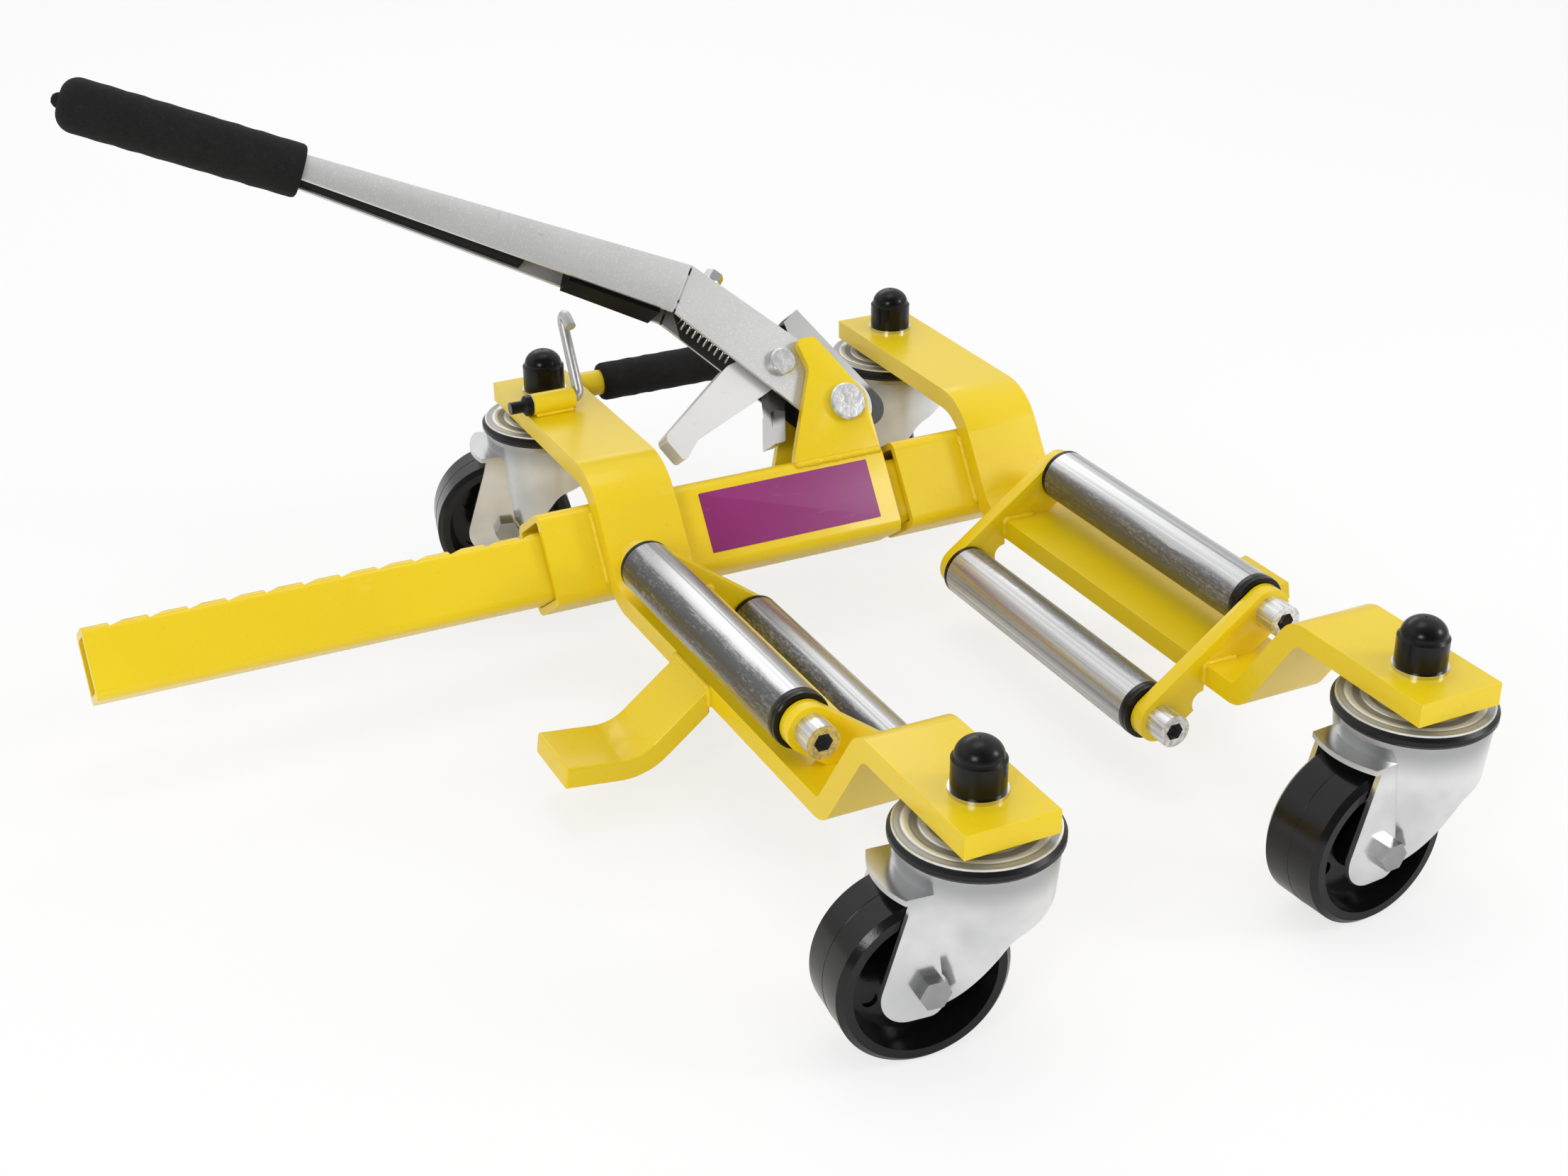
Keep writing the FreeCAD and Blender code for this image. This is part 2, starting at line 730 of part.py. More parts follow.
rack = tube_block(rack_left, bar_outer, rack_front, rack_low, rack_depth, rack_height, rack_round)
rack_bore = tube_block(
    rack_left, bar_outer, rack_front + tube_wall, rack_low + tube_wall,
    rack_depth - 2 * tube_wall, rack_height - 2 * tube_wall, rack_round - tube_wall,
)
notch = prism(
    [
        (0, rack_top + tooth_drop / 2, 0),
        (0, rack_top, 0),
        (tooth_lean, rack_top - tooth_drop, 0),
        (tooth_ramp, rack_top, 0),
        (tooth_ramp, rack_top + tooth_drop / 2, 0),
    ],
    in_front_plane(rack_front),
    AXIS_Y * rack_depth,
)
first_notch = rack_left + tooth_first
notches = [notch.translated(AXIS_X * (first_notch + i * tooth_pitch)) for i in range(tooth_count)]
export("rack_tube", tilted(rack.cut(rack_bore).cut(Part.makeCompound(notches))))

collar_left = sleeve_right + collar_gap
collar = tube_block(collar_left, bar_outer, 0, 0, sleeve_depth, sleeve_height, sleeve_round)
collar_bore = tube_block(
    collar_left, bar_outer, tube_wall, rack_low,
    sleeve_depth - 2 * tube_wall, sleeve_height - tube_wall - rack_low, inner_round,
)
export("collar_tube", tilted(collar.cut(collar_bore)))

# Ratchet ears: two plates that stand on the sleeve's rounded upper edges
ear_corners = []
for (a, b), r in zip(ear_corner_shares, ear_round_shares):
    ear_corners.append((ear_left + a * ear_base, ear_foot + b * ear_height, r * ear_height))
pivot_hole = Part.makeCylinder(pivot_radius, sleeve_depth, vec(pivot_x, 0, pivot_up), AXIS_Y)
for node, front in (("ear_front", ear_setback), ("ear_rear", sleeve_depth - ear_setback - ear_thickness)):
    ear = prism(ear_corners, in_front_plane(front), AXIS_Y * ear_thickness)
    export(node, tilted(ear.cut(pivot_hole).cut(sleeve_solid)))

# Pivot pin through both ears, with a broad head in front and a riveted end behind
pin_rear = sleeve_depth - ear_setback
pin_start = vec(pivot_x, ear_setback, pivot_up)
pivot_pin = Part.makeCylinder(pivot_radius, pin_rear - ear_setback, pin_start, AXIS_Y)
for start, way in ((ear_setback, -AXIS_Y), (pin_rear, AXIS_Y)):
    head = pin_head(pivot_head_radius, pivot_head_height)
    pivot_pin = pivot_pin.fuse(turned(head, vec(pivot_x, start, pivot_up), way))
export("pivot_pin", tilted(pivot_pin.removeSplitter()))

# Lever: a folded channel, open underneath, from the heel at the pivot to the tang in the grip
bend_x, bend_up = polar(pivot_x, pivot_up, lever_low_angle, lever_low_run)
fold = (lever_high_angle - lever_low_angle) / 2
mitre_angle = lever_low_angle + fold
tang_run = lever_high_run + lever_tang_length
tang_low = 2 * lever_tang_half - lever_bend_half
bend_reach = lever_bend_half / math.cos(math.radians(fold))


def lever_low_corners(inset, drop):
    """The heel part's outline in the plane of the tubes, with its roof line lowered by an inset."""
    heel = lever_heel_half
    heel_round = heel * heel_round_share
    return [
        (*polar(bend_x, bend_up, mitre_angle, 0, bend_reach - inset), 0),
        (*polar(bend_x, bend_up, mitre_angle, 0, -bend_reach - drop), 0),
        (*polar(pivot_x, pivot_up, lever_low_angle, -heel, -heel - drop), heel_round),
        (*polar(pivot_x, pivot_up, lever_low_angle, -heel, heel - inset), heel_round),
    ]


def lever_section(x, up, angle, high, low, half):
    """A flat-sided section across the lever, between its roof and its open edge."""
    corners = [polar(x, up, angle, 0, high), polar(x, up, angle, 0, -low)]
    front = depth_middle - half
    rear = depth_middle + half
    points = [vec(a, y, b) for (a, b), y in zip(corners + corners[::-1], (front, front, rear, rear))]
    return Part.makePolygon(points + points[:1])


def lever_arm(inset, drop, side):
    near_half = lever_half - side
    near = lever_section(bend_x, bend_up, mitre_angle, bend_reach - inset, bend_reach + drop, near_half)
    sections = [near]
    for run in (lever_high_run, tang_run):
        x, up = polar(bend_x, bend_up, lever_high_angle, run)
        half = lever_tang_depth / 2 - side
        roof = lever_bend_half - inset
        sections.append(lever_section(x, up, lever_high_angle, roof, tang_low + drop, half))
    return Part.makeLoft(sections, True, True)


lever_low_plane = in_front_plane(depth_middle - lever_half)
lever_low = prism(lever_low_corners(0, 0), lever_low_plane, AXIS_Y * (2 * lever_half))
lever_inner_half = lever_half - lever_sheet
low_room = prism(
    lever_low_corners(lever_sheet, lever_sheet),
    in_front_plane(depth_middle - lever_inner_half),
    AXIS_Y * (2 * lever_inner_half),
)
heel_room = Part.makeCylinder(
    lever_roof_end, 2 * lever_inner_half, vec(pivot_x, depth_middle - lever_inner_half, pivot_up), AXIS_Y
)
lever_pin_x, lever_pin_up = polar(pivot_x, pivot_up, lever_pin_angle, lever_pin_arm)
lever_front = depth_middle - lever_half
lever = lever_low.cut(low_room).cut(heel_room)
lever = lever.fuse(lever_arm(0, 0, 0).cut(lever_arm(lever_sheet, lever_sheet, lever_sheet)))
lever = lever.cut(
    Part.makeCylinder(
        pivot_radius + turn_clearance, 2 * lever_half, vec(pivot_x, lever_front, pivot_up), AXIS_Y
    )
)
lever = lever.cut(
    Part.makeCylinder(lever_pin_radius, 2 * lever_half, vec(lever_pin_x, lever_front, lever_pin_up), AXIS_Y)
)
heel_roof = polar(pivot_x, pivot_up, lever_low_angle, -lever_heel_half, lever_heel_half)
bend_roof = polar(bend_x, bend_up, mitre_angle, 0, bend_reach)
roof_x = heel_roof[0] + (bend_roof[0] - heel_roof[0]) * lever_bolt_share
roof_up = heel_roof[1] + (bend_roof[1] - heel_roof[1]) * lever_bolt_share
roof_line = vec(bend_roof[0] - heel_roof[0], 0, bend_roof[1] - heel_roof[1]).normalize()
into = vec(-roof_line.z, 0, roof_line.x)
roof_point = vec(roof_x, depth_middle, roof_up)
bolt_shank = Part.makeCylinder(lever_bolt_radius, lever_bolt_length, roof_point, into)
lever = lever.cut(bolt_shank)
export("lever_channel", tilted(lever.copy()))

# Lever screw: hexagon head on the roof, its shank holding the trigger spring
hex_points = []
for i in range(7):
    angle = math.radians(60 * i)
    flat = vec(-into.z, 0, into.x) * math.cos(angle) + AXIS_Y * math.sin(angle)
    hex_points.append(roof_point - into * lever_washer_height + flat * corner_reach(lever_bolt_flats))
lever_screw = Part.Face(Part.makePolygon(hex_points)).extrude(into * -lever_bolt_head)
lever_washer = Part.makeCylinder(lever_washer_radius, lever_washer_height, roof_point, into * -1)
export("lever_screw", tilted(lever_screw.fuse(lever_washer).fuse(bolt_shank)))

# Lever grip: a soft sleeve with a rounded end and a small nib, filling the tang's channel
grip_x, grip_up = polar(bend_x, bend_up, lever_high_angle, lever_high_run, lever_bend_half - lever_tang_half)
grip_axis = vec(math.cos(math.radians(lever_high_angle)), 0, math.sin(math.radians(lever_high_angle)))
grip_start = vec(grip_x, depth_middle, grip_up)
grip_edge = lever_grip_round / 4
grip_profile = [(0, 0), (lever_grip_radius - grip_edge, 0), (lever_grip_radius, grip_edge)]
for i in range(6):
    angle = math.radians(90 * i / 5)
    ring = lever_grip_radius - lever_grip_round + lever_grip_round * math.cos(angle)
    grip_profile.append((ring, lever_grip_length - lever_grip_round + lever_grip_round * math.sin(angle)))
grip_profile.append((lever_grip_nib, lever_grip_length))
grip_profile.append((lever_grip_nib / 2, lever_grip_length + lever_grip_nib_length))
grip_profile.append((0, lever_grip_length + lever_grip_nib_length))
grip_turn = [grip_start + AXIS_Y * r + grip_axis * h for r, h in grip_profile]
lever_grip = Part.Face(Part.makePolygon(grip_turn + grip_turn[:1])).revolve(grip_start, grip_axis, 360)
export("lever_grip", tilted(lever_grip.cut(lever)))

# Lever pad: a rubber block between the lever's sides, standing out of its open edge
pad_ends = []
for along in (lever_pad_start, lever_pad_start + lever_pad_length):
    share = along / lever_high_run
    pad_ends.append((along, lever_bend_half + (tang_low - lever_bend_half) * share))
pad_corners = []
for along, half in pad_ends:
    pad_corners.append((*polar(bend_x, bend_up, lever_high_angle, along, -half - lever_pad_hang), 0))
for along, half in pad_ends[::-1]:
    pad_corners.append((*polar(bend_x, bend_up, lever_high_angle, along, lever_pad_height - half), 0))
pad = prism(pad_corners, in_front_plane(lever_front), AXIS_Y * (2 * lever_half))
pad = pad.common(lever_arm(lever_sheet, 2 * lever_pad_hang, lever_sheet))
export("lever_pad", tilted(pad))

# Lever pin: the pawl's axle, headed in front of the lever
lever_pin = Part.makeCylinder(
    lever_pin_radius, 2 * lever_half, vec(lever_pin_x, lever_front, lever_pin_up), AXIS_Y
)
lever_head = pin_head(lever_pin_head_radius, lever_pin_head_height)
lever_pin = lever_pin.fuse(turned(lever_head, vec(lever_pin_x, lever_front, lever_pin_up), -AXIS_Y))
export("lever_pin", tilted(lever_pin))


# Trigger spring: an unbroken helix inside the lever, under the screw's end
def arc_from(start, heading, end):
    """The arc that leaves a point along a heading and ends at another point."""
    chord = end - start
    along = FreeCAD.Vector(chord).normalize()
    aside = heading - along * heading.dot(along)
    lean = heading.getAngle(along)
    length = (end - start).Length
    middle = (start + end) * 0.5 + aside.normalize() * (length / 2 * math.tan(lean / 2))
    return Part.Arc(start, middle, end).toShape()


def biarc(start, heading, end, end_heading):
    gap = end - start
    both = heading + end_heading
    spread = 2 * (1 - heading.dot(end_heading))
    lead = (-gap.dot(both) + math.sqrt(gap.dot(both) ** 2 + spread * gap.dot(gap))) / spread
    middle = (start + end + (heading - end_heading) * lead) * 0.5
    first = arc_from(start, heading, middle)
    last = arc_from(end, end_heading * -1, middle)
    return [first, last]


screw_end = roof_point + into * lever_bolt_length
heel_edge = polar(pivot_x, pivot_up, lever_low_angle, -lever_heel_half, -lever_heel_half)
bend_edge = polar(bend_x, bend_up, mitre_angle, 0, -bend_reach)
spring_axis = vec(heel_edge[0] - bend_edge[0], 0, heel_edge[1] - bend_edge[1]).normalize()
spring_side = vec(spring_axis.z, 0, -spring_axis.x)
spring_offset = spring_radius + spring_wire + spring_gap
spring_start = screw_end + spring_side * spring_offset - spring_axis * spring_pitch


def spring_point(turns):
    angle = 2 * math.pi * turns
    ring = spring_side * math.cos(angle) + AXIS_Y * math.sin(angle)
    return spring_start + ring * spring_radius + spring_axis * (spring_pitch * turns)


def spring_heading(turns):
    angle = 2 * math.pi * turns
    ring = AXIS_Y * math.cos(angle) - spring_side * math.sin(angle)
    return (ring * (2 * math.pi * spring_radius) + spring_axis * spring_pitch).normalize()


spring_edges = []
for i in range(spring_turns * 4):
    start = i / 4
    end = (i + 1) / 4
    spring_edges += biarc(spring_point(start), spring_heading(start), spring_point(end), spring_heading(end))
spring_path = Part.Wire(spring_edges)
spring_circle = Part.Wire(Part.makeCircle(spring_wire, spring_point(0), spring_heading(0)))
spring = spring_path.makePipeShell([spring_circle], True, False)
export("trigger_spring", tilted(spring))
spring_marks = [spring_point(i / 24) for i in range(24 * spring_turns + 1)]
spring_gaps = [
    (spring_marks[i] - spring_marks[k]).Length - 2 * spring_wire
    for i in range(len(spring_marks))
    for k in range(i + 12, len(spring_marks))
]
print("trigger spring: least gap to itself", round(min(spring_gaps), 2), "mm")

# Trigger: a folded sheet channel on the lever pin, with its end folded shut
trigger_corners = []
for across in (-trigger_boss, trigger_boss):
    spot = polar(lever_pin_x, lever_pin_up, trigger_angle, -trigger_boss, across)
    trigger_corners.append((*spot, trigger_boss * boss_round_share))
for (along, across), r in zip(trigger_corner_shares, trigger_round_shares):
    spot = polar(lever_pin_x, lever_pin_up, trigger_angle, along * trigger_reach, across * trigger_reach)
    trigger_corners.append((*spot, r * trigger_reach))
trigger_front = depth_middle - trigger_half
trigger = prism(trigger_corners, in_front_plane(trigger_front), AXIS_Y * (2 * trigger_half))
trigger_room = prism(trigger_corners, in_front_plane(depth_middle - pawl_half), AXIS_Y * (2 * pawl_half))
end_wall = []
for along, across in ((-1, -1), (1, -1), (1, 1), (-1, 1)):
    run = trigger_reach + along * trigger_sheet
    end_wall.append((*polar(lever_pin_x, lever_pin_up, trigger_angle, run, across * trigger_reach), 0))
trigger_room = trigger_room.cut(prism(end_wall, in_front_plane(trigger_front), AXIS_Y * (2 * trigger_half)))
pawl_hole = Part.makeCylinder(
    lever_pin_radius + turn_clearance, 2 * lever_half, vec(lever_pin_x, lever_front, lever_pin_up), AXIS_Y
)
export("release_trigger", tilted(trigger.cut(trigger_room).cut(pawl_hole)))

# Drive pawl: a boss on the lever pin with a broad bevelled toe for the rack's teeth
toe_left = -pawl_toe_thickness / 2
pawl_arm = prism(
    [
        (*polar(lever_pin_x, lever_pin_up, pawl_angle, -pawl_boss, pawl_boss), pawl_boss * boss_round_share),
        (*polar(lever_pin_x, lever_pin_up, pawl_angle, -pawl_boss, -pawl_boss), pawl_boss * boss_round_share),
        (*polar(lever_pin_x, lever_pin_up, pawl_angle, pawl_length - pawl_toe_height / 2, toe_left), 0),
        (*polar(lever_pin_x, lever_pin_up, pawl_angle, pawl_length - pawl_toe_height / 2, -toe_left), 0),
    ],
    in_front_plane(depth_middle - pawl_half),
    AXIS_Y * (2 * pawl_half),
)
pawl_toe = prism(
    [
        (*polar(lever_pin_x, lever_pin_up, pawl_angle, pawl_length - pawl_toe_height, toe_left), 0),
        (*polar(lever_pin_x, lever_pin_up, pawl_angle, pawl_length - pawl_toe_bevel, toe_left), 0),
        (*polar(lever_pin_x, lever_pin_up, pawl_angle, pawl_length, -toe_left), 0),
        (*polar(lever_pin_x, lever_pin_up, pawl_angle, pawl_length - pawl_toe_height, -toe_left), 0),
    ],
    in_front_plane(depth_middle - pawl_toe_width / 2),
    AXIS_Y * pawl_toe_width,
)
export("drive_pawl", tilted(pawl_arm.fuse(pawl_toe).removeSplitter().cut(pawl_hole)))

# Release saddle: a folded channel on the pivot pin that carries the holding pawl
saddle_x, saddle_up = polar(pivot_x, pivot_up, saddle_angle, 0, saddle_back_offset)


def saddle_corners(inset):
    foot = saddle_long * saddle_foot_share
    return [
        (*polar(saddle_x, saddle_up, saddle_angle, saddle_long - foot, -inset), 0),
        (*polar(saddle_x, saddle_up, saddle_angle, saddle_long - foot, -saddle_width), 0),
        (*polar(pivot_x, pivot_up, saddle_angle, saddle_round, -saddle_round), saddle_round),
        (*polar(pivot_x, pivot_up, saddle_angle, -saddle_round * 1.2, -saddle_round), saddle_round),
        (*polar(saddle_x, saddle_up, saddle_angle, -foot, -inset), saddle_round - inset),
    ]


saddle_front = depth_middle - saddle_half
saddle_block = prism(saddle_corners(0), in_front_plane(saddle_front), AXIS_Y * (2 * saddle_half))
saddle_inner = saddle_half - saddle_sheet
saddle_room = prism(
    saddle_corners(saddle_sheet), in_front_plane(depth_middle - saddle_inner), AXIS_Y * (2 * saddle_inner)
)
turn_hole = Part.makeCylinder(
    pivot_radius + turn_clearance, 2 * saddle_half, vec(pivot_x, saddle_front, pivot_up), AXIS_Y
)
export("release_saddle", tilted(saddle_block.cut(saddle_room).cut(turn_hole)))

# Saddle bumper: a rubber roll along the saddle's upper end, facing the lever
bumper_along = saddle_long * (1 - saddle_foot_share) - bumper_radius
bumper_x, bumper_up = polar(saddle_x, saddle_up, saddle_angle, bumper_along, -saddle_width - bumper_radius)
bumper = Part.makeCylinder(bumper_radius, 2 * saddle_half, vec(bumper_x, saddle_front, bumper_up), AXIS_Y)
export("saddle_bumper", tilted(bumper.cut(saddle_block)))

# Holding pawl: fills the saddle at the pivot and reaches down to the rack
catch_up = rack_top + catch_tip_rise
catch_notch = first_notch + (tooth_count - 1) * tooth_pitch
catch_point_x = catch_notch + catch_tip_x
catch_angle = math.degrees(math.atan2(catch_up - pivot_up, catch_point_x - pivot_x))
catch_length = math.hypot(catch_up - pivot_up, catch_point_x - pivot_x)
catch = prism(
    [
        (*polar(pivot_x, pivot_up, catch_angle, -catch_boss, catch_boss), catch_boss * catch_round_share),
        (*polar(pivot_x, pivot_up, catch_angle, -catch_boss, -catch_boss), catch_boss * catch_round_share),
        (*polar(pivot_x, pivot_up, catch_angle, catch_length - catch_arm, -catch_arm / 2), 0),
        (catch_point_x, catch_up, 0),
        (*polar(pivot_x, pivot_up, catch_angle, catch_length - catch_arm / 2, catch_arm / 4), 0),
    ],
    in_front_plane(depth_middle - saddle_inner),
    AXIS_Y * (2 * saddle_inner),
)
export("holding_pawl", tilted(catch.cut(turn_hole)))

# Carry handle: a round tube welded to the rear left bar's inner edge, with a soft grip
handle_start = vec(-bar_inner, bar_rear_reach - handle_inset, handle_z)
handle = Part.makeCylinder(handle_radius, handle_length, handle_start, AXIS_X)
bore_radius = handle_radius - tube_wall / 2
handle = handle.cut(Part.makeCylinder(bore_radius, handle_length, handle_start, AXIS_X))
export("carry_handle_tube", handle)
grip_end = handle_length + handle_grip_round
grip_edge = handle_grip_round / 2
grip_lathe = [(handle_radius, handle_grip_start), (handle_grip_radius - grip_edge, handle_grip_start)]
grip_lathe.append((handle_grip_radius, handle_grip_start + grip_edge))
grip_lathe.append((handle_grip_radius, grip_end - handle_grip_round))
grip_lathe.append((handle_grip_radius - handle_grip_round * 0.3, grip_end - handle_grip_round * 0.3))
grip_lathe.append((handle_grip_radius - handle_grip_round, grip_end))
grip_lathe.append((0, grip_end))
grip_lathe.append((0, handle_length))
grip_lathe.append((handle_radius, handle_length))
grip_ring = [handle_start + AXIS_Y * r + AXIS_X * h for r, h in grip_lathe]
handle_grip = Part.Face(Part.makePolygon(grip_ring + grip_ring[:1])).revolve(handle_start, AXIS_X, 360)
export("carry_handle_grip", handle_grip)

# Parking hook: a bent rod through a boss on the rear left bar, held by a push-on cap
boss_left = -bar_outer + hook_boss_start
hook_y = bar_rear_reach - hook_inset
hook_z = bar_end_top + hook_boss_radius
boss_start = vec(boss_left, hook_y, hook_z)
boss = Part.makeCylinder(hook_boss_radius, hook_boss_length, boss_start, AXIS_X)
boss = boss.cut(Part.makeCylinder(hook_rod_radius + turn_clearance, hook_boss_length, boss_start, AXIS_X))
export("hook_boss", boss)
rod_left = boss_left - hook_tail
rod_turn = boss_left + hook_boss_length + face_clearance
rod_lean = math.radians(hook_lean)
rod_up = vec(0, math.sin(rod_lean), math.cos(rod_lean))
bend_share = math.sin(math.radians(45))
rod_start = vec(rod_left, hook_y, hook_z)
rod_corner = vec(rod_turn, hook_y, hook_z)
bend_middle = rod_corner + AXIS_X * (hook_bend * bend_share) + rod_up * (hook_bend * (1 - bend_share))
bend_end = rod_corner + AXIS_X * hook_bend + rod_up * hook_bend
curl_start = bend_end + rod_up * hook_rise


def curl_side(turn):
    """The way from the hook's rod to the centre of its curl, after a turn in degrees."""
    angle = rod_lean - math.radians(turn)
    return vec(0, -math.cos(angle), math.sin(angle))


curl_centre = curl_start + curl_side(0) * hook_curl
curl_middle = curl_centre - curl_side(hook_curl_turn / 2) * hook_curl
curl_end = curl_centre - curl_side(hook_curl_turn) * hook_curl
nose_angle = rod_lean - math.radians(hook_curl_turn)
nose_end = curl_end + vec(0, math.sin(nose_angle), math.cos(nose_angle)) * hook_nose
rod_path = Part.Wire(
    [
        Part.makeLine(rod_start, rod_corner),
        Part.Arc(rod_corner, bend_middle, bend_end).toShape(),
        Part.makeLine(bend_end, curl_start),
        Part.Arc(curl_start, curl_middle, curl_end).toShape(),
        Part.makeLine(curl_end, nose_end),
    ]
)
rod_circle = Part.Wire(Part.makeCircle(hook_rod_radius, rod_start, AXIS_X))
export("hook_rod", rod_path.makePipeShell([rod_circle], True, False))
cap_start = boss_left - face_clearance
cap_lathe = [
    (0, hook_tail - face_clearance),
    (hook_rod_radius, hook_tail - face_clearance),
    (hook_rod_radius, 0),
    (hook_cap_radius, 0),
    (hook_cap_radius, hook_cap_collar),
    (hook_cap_nose_radius, hook_cap_collar + hook_cap_nose_radius / 2),
    (hook_cap_nose_radius, hook_tail + hook_cap_collar / 2),
    (0, hook_tail + hook_cap_collar / 2),
]
cap_ring = [vec(cap_start - h, hook_y, hook_z + r) for r, h in cap_lathe]
cap_face = Part.Face(Part.makePolygon(cap_ring + cap_ring[:1]))
hook_cap = cap_face.revolve(vec(cap_start, hook_y, hook_z), AXIS_X, 360)
export("hook_cap", hook_cap)
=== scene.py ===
import json
import math

import bpy
from mathutils import Matrix, Vector


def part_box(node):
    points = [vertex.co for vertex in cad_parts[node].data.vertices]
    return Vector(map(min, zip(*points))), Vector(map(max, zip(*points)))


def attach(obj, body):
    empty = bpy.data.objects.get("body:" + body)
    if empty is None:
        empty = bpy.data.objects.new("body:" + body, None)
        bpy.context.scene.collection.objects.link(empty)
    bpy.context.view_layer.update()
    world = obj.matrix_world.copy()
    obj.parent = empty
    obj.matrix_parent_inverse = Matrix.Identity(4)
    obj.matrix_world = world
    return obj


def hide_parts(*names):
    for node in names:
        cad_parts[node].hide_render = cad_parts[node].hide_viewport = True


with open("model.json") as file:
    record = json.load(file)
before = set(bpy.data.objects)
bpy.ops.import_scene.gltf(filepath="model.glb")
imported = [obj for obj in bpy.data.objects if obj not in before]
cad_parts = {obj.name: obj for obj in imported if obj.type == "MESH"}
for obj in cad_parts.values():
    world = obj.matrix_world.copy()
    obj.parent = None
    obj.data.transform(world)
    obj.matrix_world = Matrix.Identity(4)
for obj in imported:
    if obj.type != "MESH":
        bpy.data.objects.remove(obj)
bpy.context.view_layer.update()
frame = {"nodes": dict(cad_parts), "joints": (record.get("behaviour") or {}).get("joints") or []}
nodes = frame["nodes"]

# Each side's name, the sign of its X, and the body that its fixed pieces ride on
SIDES = (("left", -1, "base"), ("right", 1, "carriage"))
ROLLER_LEVELS = ("high", "low")

# Sizes in metres that the solids share with the pieces made here
SLOPE = math.radians(34.4)
TUBE_Y = 0.14018
TUBE_Z = 0.06412
SLEEVE_DEPTH = 0.04445
BAR_INNER = 0.1028
BAR_OUTER = 0.1536
BAR_LOW_TOP = 0.0713
BAR_END_TOP = 0.1308
LOWER_ARM_DEGREES = 132.9
UPPER_ARM_DEGREES = 154.4
BEND_POINT = Vector((-0.05456, 0.17896))
LEVER_ANGLE = math.radians(UPPER_ARM_DEGREES)
MITRE_ANGLE = math.radians((LOWER_ARM_DEGREES + UPPER_ARM_DEGREES) / 2)
ROOF_ANGLE = math.radians(LOWER_ARM_DEGREES - 90)
LEVER_HALF = 0.0167
LEVER_TIP_HALF = 0.008
LEVER_WIDE = 0.0147
LEVER_TIP_WIDE = 0.0095
LEVER_INSIDE = 0.0120
GRIP_RUN = 0.242
GRIP_RISE = 0.0087
GRIP_RADIUS = 0.0165
GRIP_LENGTH = 0.143
CASTER_X = 0.1282
FRONT_CASTER_Y = -0.2413
REAR_CASTER_Y = 0.3091
WHEEL_RADIUS = 0.04445
CAP_RADIUS = 0.0133
CAP_SKIRT_TOP = 0.1493
CAP_TOP = 0.1590
ROLLER_CENTRES = ((0.1440, 0.0948), (0.0744, 0.0429))
LINK_THICK = 0.0095
LINK_FRONT = -0.1043
LINK_REAR = 0.1087
HANDLE_Y = 0.325
HANDLE_Z = 0.1227
HOOK_Y = 0.2725
HOOK_Z = 0.1378
BOSS_LEFT = -0.1507

# The rollers' radius as the photograph shows it, smaller than the solids'
ROLLER_RADIUS = 0.01625


def tube_point(x, up, depth):
    """A point laid out on the tilted tubes, in the jack's own frame."""
    return Vector((
        x,
        TUBE_Y + up * math.sin(SLOPE) + depth * math.cos(SLOPE),
        TUBE_Z + up * math.cos(SLOPE) - depth * math.sin(SLOPE),
    ))


def tube_way(x, up, depth):
    """A direction laid out on the tilted tubes."""
    return tube_point(x, up, depth) - tube_point(0, 0, 0)


def lever_point(run, across, depth):
    """A point on the lever's upper arm: out from the bend, across towards its roof, in depth."""
    x = BEND_POINT.x + run * math.cos(LEVER_ANGLE) + across * math.sin(LEVER_ANGLE)
    up = BEND_POINT.y + run * math.sin(LEVER_ANGLE) - across * math.cos(LEVER_ANGLE)
    return tube_point(x, up, depth)


# Shader arithmetic
class Field:
    """A value on a surface that takes plain arithmetic."""

    def __init__(self, finish, socket):
        self.finish = finish
        self.socket = socket

    def math(self, operation, first, second=0.0):
        return self.finish.node("ShaderNodeMath", {"operation": operation}, {0: first, 1: second})

    def __add__(self, other):
        return self.math("ADD", self, other)

    def __radd__(self, other):
        return self.math("ADD", other, self)

    def __sub__(self, other):
        return self.math("SUBTRACT", self, other)

    def __rsub__(self, other):
        return self.math("SUBTRACT", other, self)

    def __mul__(self, other):
        return self.math("MULTIPLY", self, other)

    def __rmul__(self, other):
        return self.math("MULTIPLY", other, self)

    def __gt__(self, other):
        return self.math("GREATER_THAN", self, other)

    def __lt__(self, other):
        return self.math("LESS_THAN", self, other)

    def __abs__(self):
        return self.math("ABSOLUTE", self)

    def __pow__(self, other):
        return self.math("POWER", self, other)

    def sine(self):
        return self.math("SINE", self)

    def smaller(self, other):
        return self.math("MINIMUM", self, other)

    def larger(self, other):
        return self.math("MAXIMUM", self, other)


class Shading:
    """A set of nodes, each made from its type, its settings and its sockets' values or links."""

    def __init__(self, tree):
        self.tree = tree
        self.tree.nodes.clear()

    def node(self, kind, settings, inputs, output=0):
        made = self.tree.nodes.new(kind)
        for key, value in settings.items():
            setattr(made, key, value)
        for key, value in inputs.items():
            if isinstance(value, Field):
                self.tree.links.new(value.socket, made.inputs[key])
            else:
                made.inputs[key].default_value = value
        return Field(self, made.outputs[output]) if made.outputs else None

    def step(self, value, low, high):
        """A smooth rise from 0 to 1 between two values."""
        settings = {"interpolation_type": "SMOOTHSTEP"}
        sockets = {"Value": value, "From Min": low, "From Max": high}
        return self.node("ShaderNodeMapRange", settings, sockets, "Result")

    def along(self, place, way):
        sockets = {0: place, 1: way}
        return self.node("ShaderNodeVectorMath", {"operation": "DOT_PRODUCT"}, sockets, "Value")

    def ray(self, kind):
        return self.node("ShaderNodeLightPath", {}, {}, kind)


